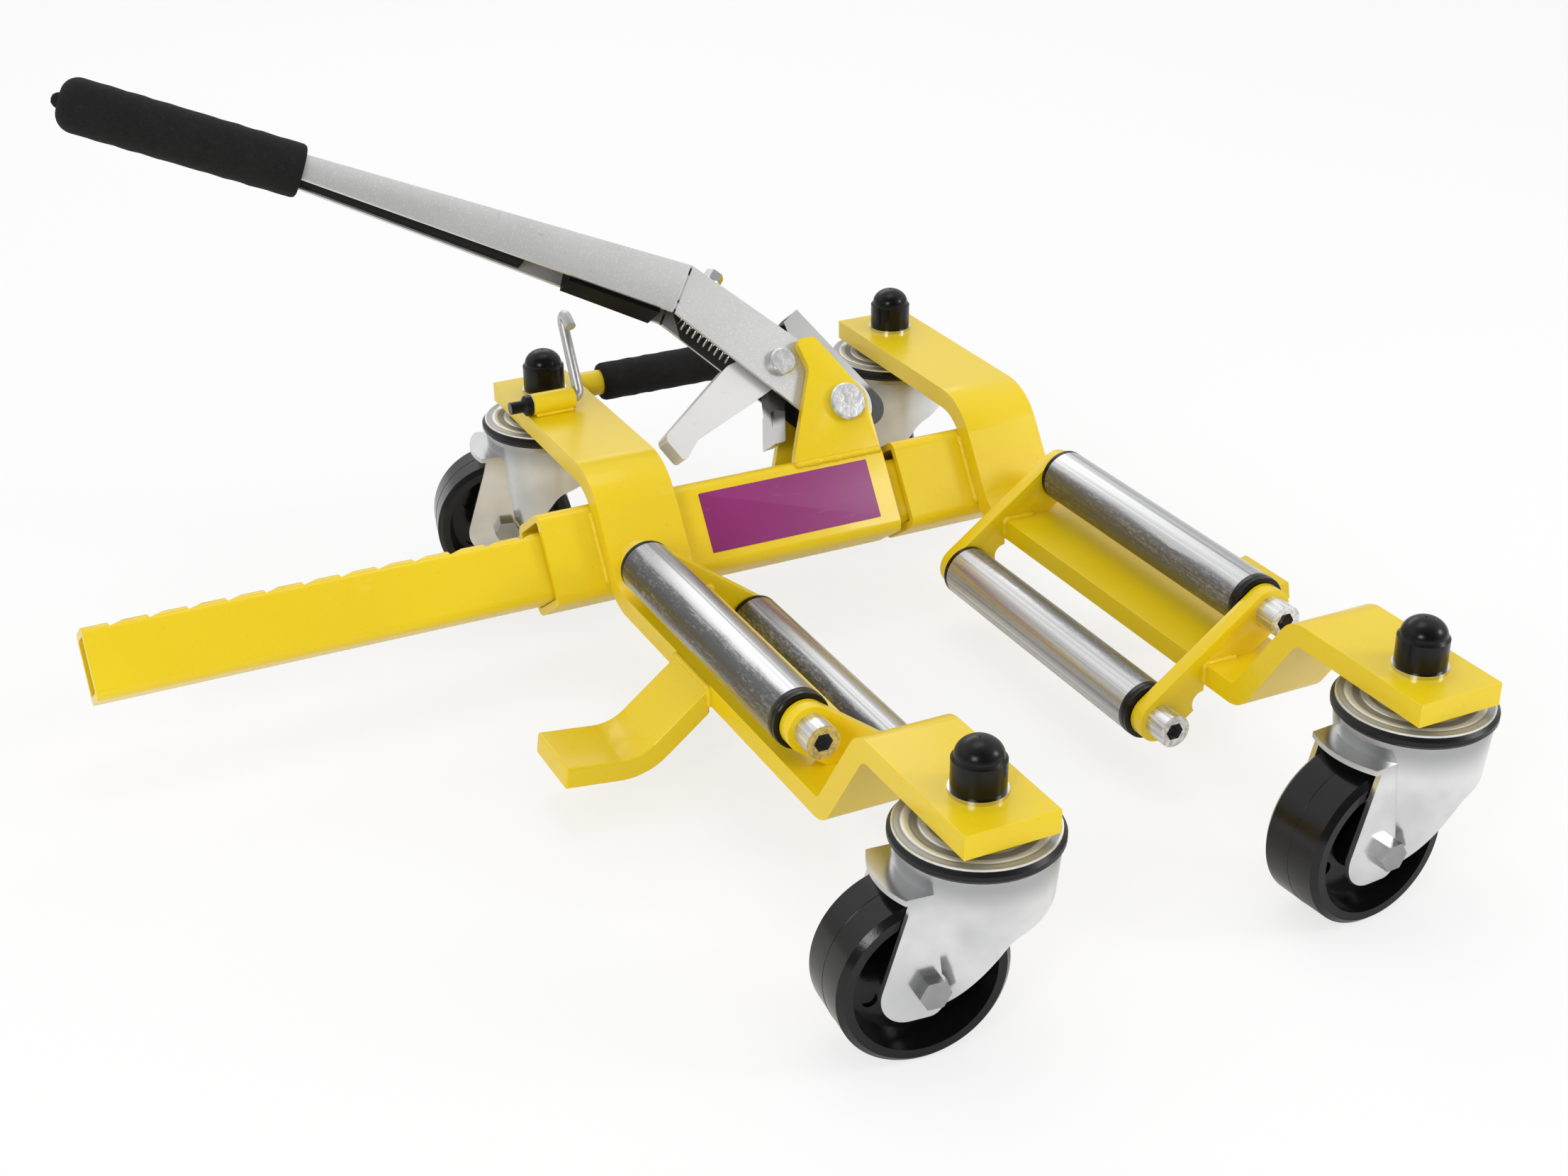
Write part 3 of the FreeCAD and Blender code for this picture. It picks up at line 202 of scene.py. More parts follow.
class Finish(Shading):
    """One procedural finish, laid out on the jack's own coordinates."""

    def __init__(self, name):
        self.material = bpy.data.materials.new(name)
        self.material.use_nodes = True
        super().__init__(self.material.node_tree)
        self.place = self.node("ShaderNodeTexCoord", {}, {}, "Object")

    def stretched(self, scale, turn=(0, 0, 0)):
        sockets = {"Vector": self.place, "Scale": scale, "Rotation": turn}
        return self.node("ShaderNodeMapping", {}, sockets)

    def offset(self, point):
        """The way to the surface from a fixed point."""
        sockets = {0: self.place, 1: point}
        return self.node("ShaderNodeVectorMath", {"operation": "SUBTRACT"}, sockets)

    def facing(self):
        return self.node("ShaderNodeNewGeometry", {}, {}, "Normal")

    def axis(self, index):
        return self.node("ShaderNodeSeparateXYZ", {}, {"Vector": self.place}, index)

    def noise(self, scale, detail=3.0, rough=0.55, at=None):
        sockets = {
            "Vector": at or self.place, "Scale": scale, "Detail": detail, "Roughness": rough,
        }
        return self.node("ShaderNodeTexNoise", {}, sockets, "Fac")

    def cells(self, scale):
        sockets = {"Vector": self.place, "Scale": scale}
        return self.node("ShaderNodeTexVoronoi", {}, sockets, "Distance")

    def mix(self, share, first, second):
        colours = [
            colour if isinstance(colour, Field) else (*colour, 1.0) for colour in (first, second)
        ]
        settings = {"data_type": "RGBA", "clamp_factor": True}
        return self.node("ShaderNodeMix", settings, {0: share, 6: colours[0], 7: colours[1]}, 2)

    def bump(self, height, distance, strength, under=None):
        """Relief of a depth in metres, at a strength, over another relief if one is given."""
        sockets = {"Height": height, "Distance": distance, "Strength": strength}
        if under:
            sockets["Normal"] = under
        return self.node("ShaderNodeBump", {}, sockets, "Normal")

    def surface(self, colour, rough, normal, **others):
        """Close the finish; sockets beside the three usual ones go by their names."""
        sockets = {"Base Color": colour, "Roughness": rough, "Normal": normal, **others}
        return self.closed(self.node("ShaderNodeBsdfPrincipled", {}, sockets))

    def closed(self, shader):
        self.node("ShaderNodeOutputMaterial", {}, {"Surface": shader})
        return self.material


def grey(level):
    return (level, level, level)


# Finishes: a noise takes its scale, detail and roughness, and a step the values it runs between
YELLOW = (0.83, 0.605, 0.006)
YELLOW_DEEP = (0.78, 0.545, 0.003)
YELLOW_PALE = (0.85, 0.67, 0.10)
SPECK_BROWN = (0.32, 0.20, 0.02)
LEVER_STAIN = (0.30, 0.29, 0.28)
PURPLE = (0.225, 0.010, 0.130)
PURPLE_LIGHT = (0.285, 0.018, 0.175)
PURPLE_RUBBED = (0.44, 0.19, 0.34)
DUST = grey(0.15)

# The fork's apron turns in between these heights, where its finish is painted darker as shade under
# the crown
APRON_LOW = 0.086
APRON_HIGH = 0.104

# Spacing of the pressed rings on a race
RACE_RING = 0.0078

# Half widths of a roller screw's hexagon socket
SOCKET_FLAT = 0.00475
SOCKET_CORNER = 0.0055

# The saw slit across the lever's bend: half width, half width with its soft edge, and its ends
SLIT_HALF = 0.00045
SLIT_SOFT = 0.0009
SLIT_TOP = LEVER_HALF * 0.97
SLIT_BOTTOM = -LEVER_HALF * 1.06

# Heights where the sheets turn dull and dark, the pawl's top as painted shade inside the lever, how
# soft the change is, and two out of reach
SADDLE_BRIGHT_LOW = 0.138
PAWL_SHADED_ABOVE = 0.128
DARKEN_FADE = 0.003
FLOOR_LEVEL, ABOVE_ALL = 0.0, 1.0


def powder_coat(name, scuffs):
    """Yellow powder coat with a fine peel, specks, and rubbed places as strong as scuffs says."""
    f = Finish(name)
    cloud = f.step(f.noise(9.0, 2.0), 0.35, 0.7)
    peel = f.noise(620.0, 2.0, 0.5)
    lumps = f.noise(120.0, 2.0, 0.5)
    colour = f.mix(cloud * 0.55, YELLOW, YELLOW_DEEP)
    rubs = f.noise(30.0, 5.0, 0.72, f.stretched((0.35, 1.0, 1.0)))
    rubs = f.step(rubs, 0.56, 0.72)
    colour = f.mix(rubs * scuffs, colour, YELLOW_PALE)
    specks = f.step(f.noise(900.0, 1.0), 0.735, 0.76)
    colour = f.mix(specks * 0.35, colour, SPECK_BROWN)
    rough = 0.27 + 0.10 * f.noise(45.0, 3.0) + 0.16 * rubs * scuffs
    normal = f.bump(lumps, 0.0004, 0.35, f.bump(peel, 0.00012, 0.35))
    coat = {"Coat Weight": 0.2, "Coat Roughness": 0.08, "Specular IOR Level": 0.36}
    return f.surface(colour, rough, normal, **coat)


def zinc_plate(name, shade, grain, rough, dents):
    """Bright zinc with faint blotches and scratches; dents sets how uneven it looks."""
    f = Finish(name)
    blotch = f.noise(grain, 4.0, 0.6)
    fine = f.noise(grain * 9.0, 3.0, 0.6)
    dim = [shade * k for k in (0.87, 0.875, 0.885)]
    tone = f.mix(f.step(blotch, 0.32, 0.70), dim, grey(shade))
    scratch = f.noise(90.0, 4.0, 0.7, f.stretched((1.0, 9.0, 3.0), (0.3, 0.5, 0.9)))
    tone = f.mix(f.step(scratch, 0.62, 0.7) * 0.16, tone, (0.46, 0.465, 0.47))
    roughness = rough + 0.12 * blotch + 0.05 * fine
    normal = f.bump(blotch, 0.0006, dents, f.bump(fine, 0.00005, 0.25))
    return f.surface(tone, roughness, normal, Metallic=1.0)


def fork_finish():
    """Pressed zinc sheet: broad soft tones, and painted shade where the apron turns in under the
    crown.
    """
    f = Finish("pressed_fork_zinc")
    broad = f.noise(26.0, 3.0, 0.55)
    cloud = f.noise(85.0, 4.0, 0.6)
    scratch = f.noise(70.0, 4.0, 0.7, f.stretched((1.0, 8.0, 2.0), (0.4, 0.2, 0.9)))
    tone = f.mix(f.step(broad, 0.30, 0.70), (0.62, 0.623, 0.627), (0.78, 0.782, 0.785))
    tone = f.mix(f.step(cloud, 0.52, 0.78) * 0.16, tone, (0.44, 0.443, 0.447))
    tone = f.mix(f.step(scratch, 0.64, 0.72) * 0.14, tone, (0.40, 0.404, 0.408))
    height = f.axis("Z") + 0.012 * (broad - 0.5)
    # The apron's top is painted dark as shade under the crown
    painted_shade_under_crown = f.step(height, APRON_LOW, APRON_HIGH)
    tone = f.mix(painted_shade_under_crown * 0.62, tone, (0.22, 0.223, 0.227))
    rough = 0.17 + 0.08 * cloud
    normal = f.bump(broad, 0.0008, 0.12)
    return f.surface(tone, rough, normal, Metallic=0.92)


def race_finish():
    """The pressed race: raised and sunken rings round each swivel, in relief, with painted light on
    the ridges and painted shade in the grooves.
    """
    f = Finish("ringed_race_zinc")
    across = abs(f.axis("X")) - CASTER_X
    to_rear = across ** 2 + (f.axis("Y") - REAR_CASTER_Y) ** 2
    to_front = across ** 2 + (f.axis("Y") - FRONT_CASTER_Y) ** 2
    reach = to_rear.smaller(to_front) ** 0.5
    wave = (reach * (2 * math.pi / RACE_RING)).sine()
    ridge = f.step(wave, -0.55, 0.65)
    cloud = f.noise(90.0, 4.0, 0.6)
    # Ridges painted light and grooves painted dark, as light and shade on the rings
    tone = f.mix(ridge, (0.33, 0.333, 0.337), (0.82, 0.823, 0.827))
    tone = f.mix(f.step(cloud, 0.45, 0.7) * 0.3, tone, (0.47, 0.473, 0.477))
    rough = 0.30 + 0.16 * cloud
    normal = f.bump(ridge + cloud * 0.08, 0.0007, 0.55)
    return f.surface(tone, rough, normal, Metallic=0.6)


def screw_finish():
    """Socket-head screws: streaks along the head's side, and painted shade in the hexagon socket.
    """
    f = Finish("socket_screw_zinc")
    streak = f.noise(1.0, 3.0, 0.65, f.stretched((420.0, 14.0, 420.0)))
    tone = f.mix(f.step(streak, 0.38, 0.62), (0.52, 0.522, 0.528), (0.84, 0.842, 0.848))
    to_high, to_low = (
        (abs(f.axis("X")) - x) ** 2 + (f.axis("Z") - z) ** 2 for x, z in ROLLER_CENTRES
    )
    reach = to_high.smaller(to_low) ** 0.5
    # The hexagon socket's floor and walls are painted dark as shade in the recess
    shaded_socket_walls = (abs(f.along(f.facing(), (0, 1, 0))) < 0.5) * (reach < SOCKET_CORNER)
    socket = ((reach < SOCKET_FLAT) + shaded_socket_walls) * (f.axis("Y") < 0.0)
    tone = f.mix(socket * 0.75, tone, (0.05, 0.05, 0.052))
    rough = 0.18 + 0.12 * streak
    normal = f.bump(streak, 0.00008, 0.3)
    return f.surface(tone, rough, normal, Metallic=0.8)


def roller_tube_finish(name, centre, shade_way, shade_start, depth):
    """Drawn galvanised tube: fine lines along it, and a dull band of flecked painted shade down one
    side.
    """
    f = Finish(name)
    draw_lines = f.noise(1.0, 3.0, 0.7, f.stretched((560.0, 1.0, 560.0)))
    broad = f.noise(1.0, 2.0, 0.5, f.stretched((70.0, 1.6, 70.0)))
    fleck = f.noise(1.0, 4.0, 0.72, f.stretched((760.0, 250.0, 760.0)))
    patch = f.noise(1.0, 3.0, 0.6, f.stretched((75.0, 11.0, 75.0)))
    around = f.along(f.offset(centre), shade_way) * (1 / ROLLER_RADIUS)
    ragged = around + 0.5 * (patch - 0.5) + 0.25 * (fleck - 0.5)
    # The band down one side is painted shade, flecked dark and mid grey, and rougher too
    dull_and_dark = f.step(ragged, shade_start, shade_start + 0.16)
    tone = f.mix(f.step(broad, 0.34, 0.66), (0.36, 0.362, 0.366), (0.62, 0.622, 0.626))
    tone = f.mix(f.step(draw_lines, 0.52, 0.68) * 0.4, tone, (0.84, 0.84, 0.845))
    tone = f.mix(f.step(1 - draw_lines, 0.52, 0.68) * 0.6, tone, (0.12, 0.12, 0.124))
    shade_flecks = f.step(fleck * 0.55 + patch * 0.6, 0.56, 0.72)
    stain = f.mix(shade_flecks, (0.06, 0.061, 0.064), (0.30, 0.302, 0.31))
    tone = f.mix(dull_and_dark * depth, tone, stain)
    rough = 0.24 + 0.12 * dull_and_dark + 0.06 * draw_lines
    normal = f.bump(draw_lines * 0.7 + fleck * 0.3, 0.00004, 0.1)
    return f.surface(tone, rough, normal, Metallic=0.86)


def lever_finish():
    """Satin steel with a tacked slit at the mitred bend, and painted shade inside the lower arm."""
    f = Finish("satin_lever_steel")
    grit = f.noise(850.0, 2.0, 0.6)
    cloud = f.noise(26.0, 4.0, 0.6)
    tone = f.mix(cloud, (0.62, 0.62, 0.62), (0.75, 0.75, 0.745))
    tone = f.mix(f.step(grit, 0.50, 0.72) * 0.5, tone, grey(0.90))
    stain = f.step(f.noise(140.0, 3.0, 0.6), 0.66, 0.76)
    tone = f.mix(stain * 0.22, tone, LEVER_STAIN)
    place = f.offset(tube_point(BEND_POINT.x, BEND_POINT.y, 0))
    across_slit = tube_way(math.cos(MITRE_ANGLE), math.sin(MITRE_ANGLE), 0)
    along_slit = tube_way(math.sin(MITRE_ANGLE), -math.cos(MITRE_ANGLE), 0)
    rise = f.along(place, along_slit)
    slit = 1 - f.step(abs(f.along(place, across_slit)), SLIT_HALF, SLIT_SOFT)
    tack = f.step(f.noise(150.0, 1.0, 0.5), 0.47, 0.53)
    within = (rise < SLIT_TOP) * (rise > SLIT_BOTTOM)
    slit = slit * within * (0.35 + 0.65 * tack)
    tone = f.mix(slit, tone, grey(0.03))
    # Inside faces of the lower arm are painted dark as shade
    inward = tube_way(0, 0, 1)
    roof = tube_way(math.cos(ROOF_ANGLE), math.sin(ROOF_ANGLE), 0)
    facing = f.facing()
    depth = f.along(place, inward) - SLEEVE_DEPTH / 2
    under_roof = (f.along(facing, roof) < -0.6) * (abs(depth) < LEVER_INSIDE)
    lower_arm = f.axis("X") > BEND_POINT.x
    painted_shade_inside = ((depth * f.along(facing, inward) < -0.003) + under_roof) * lower_arm
    tone = f.mix(painted_shade_inside * 0.88, tone, (0.035, 0.035, 0.036))
    rough = 0.40 + 0.10 * grit + 0.25 * slit
    normal = f.bump(grit * 0.12 + cloud * 0.1 - slit, 0.0004, 0.5)
    return f.surface(tone, rough, normal, Metallic=0.82)


def sheet_finish(name, shade, metal, darken_below=FLOOR_LEVEL, darken_above=ABOVE_ALL):
    """Folded sheet, dull and dark below and above two given heights."""
    f = Finish(name)
    grain = f.noise(1.0, 4.0, 0.6, f.stretched((60.0, 500.0, 60.0)))
    cloud = f.noise(40.0, 3.0, 0.6)
    tone = f.mix(cloud, grey(shade * 0.90), grey(shade))
    stain = f.step(f.noise(160.0, 3.0, 0.6), 0.62, 0.74)
    tone = f.mix(stain * 0.10, tone, (0.40, 0.40, 0.405))
    height = f.axis("Z") + 0.004 * (cloud - 0.5)
    above = f.step(height, darken_above - DARKEN_FADE, darken_above + DARKEN_FADE)
    below = 1 - f.step(height, darken_below - DARKEN_FADE, darken_below + DARKEN_FADE)
    dull_and_dark = above + below
    tone = f.mix(dull_and_dark * 0.9, tone, (0.030, 0.030, 0.031))
    rough = 0.26 + 0.10 * grain + 0.15 * dull_and_dark
    normal = f.bump(grain, 0.00003, 0.3)
    return f.surface(tone, rough, normal, Metallic=metal)


def moulded_black(name, shade, rough, grain, gloss):
    """Black rubber or plastic with a moulded grain and a little dust."""
    f = Finish(name)
    cloud = f.noise(35.0, 3.0, 0.6)
    dust = f.step(f.noise(210.0, 5.0, 0.7), 0.60, 0.80)
    tone = f.mix(cloud * 0.6, grey(shade), grey(shade * 1.9))
    tone = f.mix(dust * 0.05, tone, DUST)
    roughness = rough + 0.10 * cloud + 0.16 * dust
    normal = f.bump(f.noise(grain, 3.0, 0.6), 0.00012, 0.35)
    return f.surface(tone, roughness, normal, **{"Specular IOR Level": gloss})


def wheel_finish():
    """Glossy black moulding, smeared and a little dusty."""
    f = Finish("moulded_wheel")
    smear = f.noise(60.0, 4.0, 0.65)
    dust = f.step(f.noise(300.0, 5.0, 0.75), 0.62, 0.82)
    tone = f.mix(smear * 0.7, grey(0.003), grey(0.009))
    tone = f.mix(dust * 0.05, tone, DUST)
    rough = 0.13 + 0.10 * smear + 0.14 * dust
    normal = f.bump(f.noise(800.0, 2.0, 0.5) + smear * 0.6, 0.00012, 0.3)
    return f.surface(tone, rough, normal, **{"Specular IOR Level": 0.34})


def foam_finish():
    """Open-pored black foam with some lint."""
    f = Finish("foam_sleeve")
    pores = f.cells(1100.0)
    fine = f.noise(1900.0, 3.0, 0.6)
    cloud = f.noise(45.0, 4.0, 0.65)
    tone = f.mix(cloud, grey(0.005), grey(0.011))
    lint = f.step(fine * 0.6 + f.noise(320.0, 3.0, 0.7) * 0.4, 0.56, 0.66)
    tone = f.mix(lint * 0.4, tone, grey(0.05))
    rough = 0.72 + 0.2 * pores
    normal = f.bump(pores * 0.7 + fine * 0.5, 0.0005, 0.55, f.bump(cloud, 0.0012, 0.35))
    return f.surface(tone, rough, normal, **{"Specular IOR Level": 0.25})


def panel_finish():
    """Plain purple, rubbed paler in streaks."""
    f = Finish("plain_purple_panel")
    cloud = f.noise(22.0, 4.0, 0.6)
    tone = f.mix(cloud, PURPLE, PURPLE_LIGHT)
    rubs = f.step(f.noise(1.0, 5.0, 0.72, f.stretched((45.0, 160.0, 160.0))), 0.60, 0.74)
    tone = f.mix(rubs * 0.25, tone, PURPLE_RUBBED)
    rough = 0.30 + 0.14 * cloud + 0.14 * rubs
    normal = f.bump(f.noise(300.0, 2.0, 0.5), 0.00006, 0.3)
    return f.surface(tone, rough, normal)


frame_paint = powder_coat("frame_powder_coat", scuffs=0.18)
rack_paint = powder_coat("rubbed_powder_coat", scuffs=0.55)
bright_zinc = zinc_plate("bright_zinc", shade=0.72, grain=60.0, rough=0.10, dents=0.04)
# The axle bolts' zinc is painted darker than the other zinc, as shade that sets their heads off the
# forks
axle_zinc = zinc_plate("axle_bolt_zinc", shade=0.36, grain=90.0, rough=0.14, dents=0.05)
hook_zinc = zinc_plate("dull_hook_zinc", shade=0.60, grain=60.0, rough=0.34, dents=0.02)
pin_zinc = zinc_plate("peened_pin_zinc", shade=0.86, grain=200.0, rough=0.17, dents=0.28)
screw_zinc = screw_finish()
fork_zinc = fork_finish()
race_zinc = race_finish()
# Each roller's dull band of painted shade has its own direction, start and depth
roller_steel = {
    "%s_roller_%s" % (side, level): roller_tube_finish(
        "galvanised_%s_%s_roller" % (side, level), (sign * spot[0], 0, spot[1]), way, start, depth
    )
    for side, sign, level, spot, way, start, depth in (
        ("left", -1, "high", ROLLER_CENTRES[0], (-0.88, 0, 0.47), 0.76, 0.85),
        ("left", -1, "low", ROLLER_CENTRES[1], (-0.97, 0, 0.22), 0.50, 0.85),
        ("right", 1, "high", ROLLER_CENTRES[0], (-0.97, 0, -0.24), 0.50, 0.72),
        ("right", 1, "low", ROLLER_CENTRES[1], (0.45, 0, 0.89), 0.72, 0.60),
    )
}
lever_steel = lever_finish()
trigger_sheet = sheet_finish("bright_trigger_sheet", shade=0.92, metal=0.45)
saddle_sheet = sheet_finish(
    "grey_saddle_sheet", shade=0.66, metal=0.85, darken_below=SADDLE_BRIGHT_LOW
)
# The pawl's top is painted dark as shade inside the lever
pawl_steel = sheet_finish(
    "pawl_steel_shaded_top", shade=0.72, metal=0.85, darken_above=PAWL_SHADED_ABOVE
)
black_plastic = moulded_black("black_cap_plastic", shade=0.003, rough=0.19, grain=900.0, gloss=0.26)
black_rubber = moulded_black("black_rubber", shade=0.002, rough=0.46, grain=1400.0, gloss=0.06)
seal_rubber = moulded_black("black_seal_ring", shade=0.004, rough=0.26, grain=500.0, gloss=0.30)
filler_plastic = moulded_black(
    "dark_filler_strip", shade=0.002, rough=0.5, grain=1100.0, gloss=0.05
)
wheel_plastic = wheel_finish()
foam = foam_finish()
purple = panel_finish()

# The ends of the solids' names, their finish, and how far their edges are rounded; the solids
# that are replaced further down have no row
SOLID_FINISHES = (
    (("_frame_bar", "_pedal"), frame_paint, 0.0014),
    (("ear_front", "ear_rear"), frame_paint, 0.0026),
    (("sleeve_tube", "collar_tube"), frame_paint, 0.0004),
    (("carry_handle_tube", "hook_boss"), frame_paint, 0),
    (("rack_tube",), rack_paint, 0.0003),
    (("lever_channel",), lever_steel, 0.0005),
    (("release_trigger",), trigger_sheet, 0),
    (("release_saddle",), saddle_sheet, 0),
    (("_pawl",), pawl_steel, 0),
    (("_pin",), pin_zinc, 0),
    (("_stems", "lever_screw", "trigger_spring"), bright_zinc, 0),
    (("_roller_screws",), screw_zinc, 0),
    (("_axle",), axle_zinc, 0),
    (("_fork",), fork_zinc, 0),
    (("_races",), race_zinc, 0),
    (("hook_rod",), hook_zinc, 0),
    (("_wheel",), wheel_plastic, 0),
    (("_seals",), seal_rubber, 0),
    (("_caps", "hook_cap"), black_plastic, 0),
    (("lever_pad", "saddle_bumper"), black_rubber, 0),
)
JOINED_FACETS = 0.000002
FLAT_DEGREES = 0.4
SHARP_DEGREES = 40


def round_edges(piece, width):
    """A modifier that rounds a piece's sharp edges."""
    edges = piece.modifiers.new("softened_edges", "BEVEL")
    edges.width = width
    edges.segments = 3
    edges.limit_method = "ANGLE"
    edges.angle_limit = math.radians(SHARP_DEGREES)
    edges.use_clamp_overlap = True


def soften(piece, width):
    """Join a solid's facets and round its sharp edges."""
    joined = piece.modifiers.new("joined_facets", "WELD")
    joined.merge_threshold = JOINED_FACETS
    flats = piece.modifiers.new("whole_flats", "DECIMATE")
    flats.decimate_type = "DISSOLVE"
    flats.angle_limit = math.radians(FLAT_DEGREES)
    round_edges(piece, width)


def dress(name, piece):
    """Give a solid its finish, and soft edges where it has them."""
    for endings, material, edge in SOLID_FINISHES:
        if name.endswith(endings):
            piece.data.materials.clear()
            piece.data.materials.append(material)
            if edge:
                soften(piece, edge)


for node_name, node_piece in nodes.items():
    dress(node_name, node_piece)

# Modelling by hand
SAME_POINT = 0.000004


def deselect():
    bpy.ops.object.select_all(action="DESELECT")


def square():
    """A flat unit square, open for editing with all of it selected."""
    deselect()
    bpy.ops.mesh.primitive_plane_add(size=1, location=(0, 0, 0))
    bpy.ops.object.mode_set(mode="EDIT")
    bpy.ops.mesh.select_all(action="SELECT")
    return bpy.context.object


def pull(way):
    """Extrude what is selected."""
    bpy.ops.mesh.extrude_region_move(TRANSFORM_OT_translate={"value": way})


def close_ring(piece, ring):
    """Fill one ring of a turned piece, given as a range of vertex numbers."""
    for vertex in piece.data.vertices:
        vertex.select = vertex.index in ring
    bpy.ops.object.mode_set(mode="EDIT")
    bpy.ops.mesh.select_mode(type="VERT")
    bpy.ops.mesh.edge_face_add()
    bpy.ops.object.mode_set(mode="OBJECT")


def turned(stations, segments, close_start=True):
    """A round piece pulled out of one ring: each further (radius, height) is one more extrusion."""
    deselect()
    radius, height = stations[0]
    bpy.ops.mesh.primitive_circle_add(
        vertices=segments, radius=radius, fill_type="NOTHING", location=(0, 0, 0)
    )
    piece = bpy.context.object
    bpy.ops.object.mode_set(mode="EDIT")
    bpy.ops.mesh.select_all(action="SELECT")
    bpy.ops.transform.translate(value=(0, 0, height))
    for next_radius, next_height in stations[1:]:
        pull((0, 0, next_height - height))
        share = next_radius / radius
        bpy.ops.transform.resize(value=(share, share, 1), center_override=(0, 0, next_height))
        radius, height = next_radius, next_height
    bpy.ops.object.mode_set(mode="OBJECT")
    if close_start:
        close_ring(piece, range(segments))
    return piece


def aim(piece, start, way):
    """Stand a piece's height axis along a direction, from a start point."""
    turn = Vector(way).normalized().to_track_quat("Z", "Y").to_matrix().to_4x4()
    piece.matrix_world = Matrix.Translation(start) @ turn
    bpy.context.view_layer.update()


def lay(piece, spot, across, up, out):
    """Lay a piece's three axes along directions, with its origin on a spot."""
    turn = Matrix((across, up, out)).transposed().to_4x4()
    piece.matrix_world = Matrix.Translation(spot) @ turn
    bpy.context.view_layer.update()


def settle(piece, name, material, body, smooth):
    """Name a finished piece, clean its mesh, and let it ride on its body.

    Edges that bend by less than the smooth angle, in degrees, are shaded as one surface.
    """
    piece.name = name
    piece.data.name = name
    bpy.ops.object.transform_apply(location=True, rotation=True, scale=True)
    bpy.ops.object.mode_set(mode="EDIT")
    bpy.ops.mesh.select_all(action="SELECT")
    bpy.ops.mesh.remove_doubles(threshold=SAME_POINT)
    bpy.ops.mesh.normals_make_consistent(inside=False)
    bpy.ops.object.mode_set(mode="OBJECT")
    bpy.ops.object.shade_smooth_by_angle(angle=math.radians(smooth))
    piece.data.materials.clear()
    piece.data.materials.append(material)
    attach(piece, body)


# Foam sleeves on the lever and the carry handle
FOAM_SIDES = 80
FOAM_WAVES = 26
FOAM_ROUND_STEPS = 8
FOAM_FLARE = 0.0006
FOAM_LIP = 0.0026


def foam_grip(name, body, start, way, length, radius, bore, bore_length, round_end, nib):
    """A foam sleeve with a blind bore, a rolled mouth and a rounded end, with a nib or none."""
    stations = [(bore * 0.02, bore_length), (bore, bore_length)]
    stations += [(bore, bore_length * share) for share in (0.66, 0.33, 0.02)]
    stations += [
        (bore + FOAM_FLARE, 0.0), (radius - 0.0022, 0.0), (radius - 0.0008, 0.0007),
        (radius, FOAM_LIP),
    ]
    for i in range(1, FOAM_WAVES):
        run = FOAM_LIP + (length - round_end - FOAM_LIP) * i / FOAM_WAVES
        swell = 0.00016 * math.sin(i * 1.7) + 0.0001 * math.sin(i * 4.1)
        stations.append((radius + swell, run))
    for i in range(FOAM_ROUND_STEPS + 1):
        angle = math.radians(90 * i / FOAM_ROUND_STEPS)
        ring = radius - round_end + round_end * math.cos(angle)
        stations.append((ring, length - round_end + round_end * math.sin(angle)))
    if nib:
        stations += [
            (nib * 1.1, length - 0.0002), (nib * 0.95, length + nib * 0.35),
            (nib * 0.55, length + nib * 0.8), (nib * 0.05, length + nib * 0.9),
        ]
    else:
        stations.append((radius * 0.05, length))
    piece = turned(stations, FOAM_SIDES)
    aim(piece, start, way)
    settle(piece, name, foam, body, smooth=60)
    return piece


grip_start = lever_point(GRIP_RUN, GRIP_RISE, SLEEVE_DEPTH / 2)
grip_way = lever_point(GRIP_RUN + 1, GRIP_RISE, SLEEVE_DEPTH / 2) - grip_start
lever_foam = foam_grip(
    "lever_foam", "lever", grip_start, grip_way, length=GRIP_LENGTH, radius=GRIP_RADIUS,
    bore=0.0126, bore_length=0.1255, round_end=0.011, nib=0.0044,
)
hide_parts("lever_grip")
carry_start = Vector((-BAR_INNER + 0.0193, HANDLE_Y, HANDLE_Z))
carry_foam = foam_grip(
    "carry_foam", "base", carry_start, (1, 0, 0), length=0.1127, radius=0.0125,
    bore=0.00842, bore_length=0.1077, round_end=0.005, nib=0,
)
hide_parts("carry_handle_grip")

# Roller brackets at the photograph's width, in place of the wider solids
LINK_ROUND = 0.0133
LINK_RELIEF = 0.0070
LINK_HOLE = 0.0051
LINK_EDGE = 0.0012
LINK_FACETS = 64
CUT_DEPTH = 4 * LINK_THICK


def cut_away(piece, cutter):
    """Take a cutter's volume out of a piece, and throw the cutter away."""
    cut = piece.modifiers.new("cut", "BOOLEAN")
    cut.operation = "DIFFERENCE"
    cut.object = cutter
    deselect()
    piece.select_set(True)
    bpy.context.view_layer.objects.active = piece
    bpy.ops.object.modifier_apply(modifier="cut")
    bpy.data.objects.remove(cutter, do_unlink=True)


def round_cutter(x, y, z, radius):
    deselect()
    bpy.ops.mesh.primitive_cylinder_add(
        vertices=LINK_FACETS, radius=radius, depth=CUT_DEPTH,
        location=(x, y, z), rotation=(math.pi / 2, 0, 0),
    )
    return bpy.context.object


def bar_cutter(sign, y):
    """The volume of a frame bar's level middle, down to the floor."""
    deselect()
    bpy.ops.mesh.primitive_cube_add(
        size=1, location=(sign * (BAR_INNER + BAR_OUTER) / 2, y, BAR_LOW_TOP / 2),
        scale=(BAR_OUTER - BAR_INNER, CUT_DEPTH, BAR_LOW_TOP),
    )
    return bpy.context.object


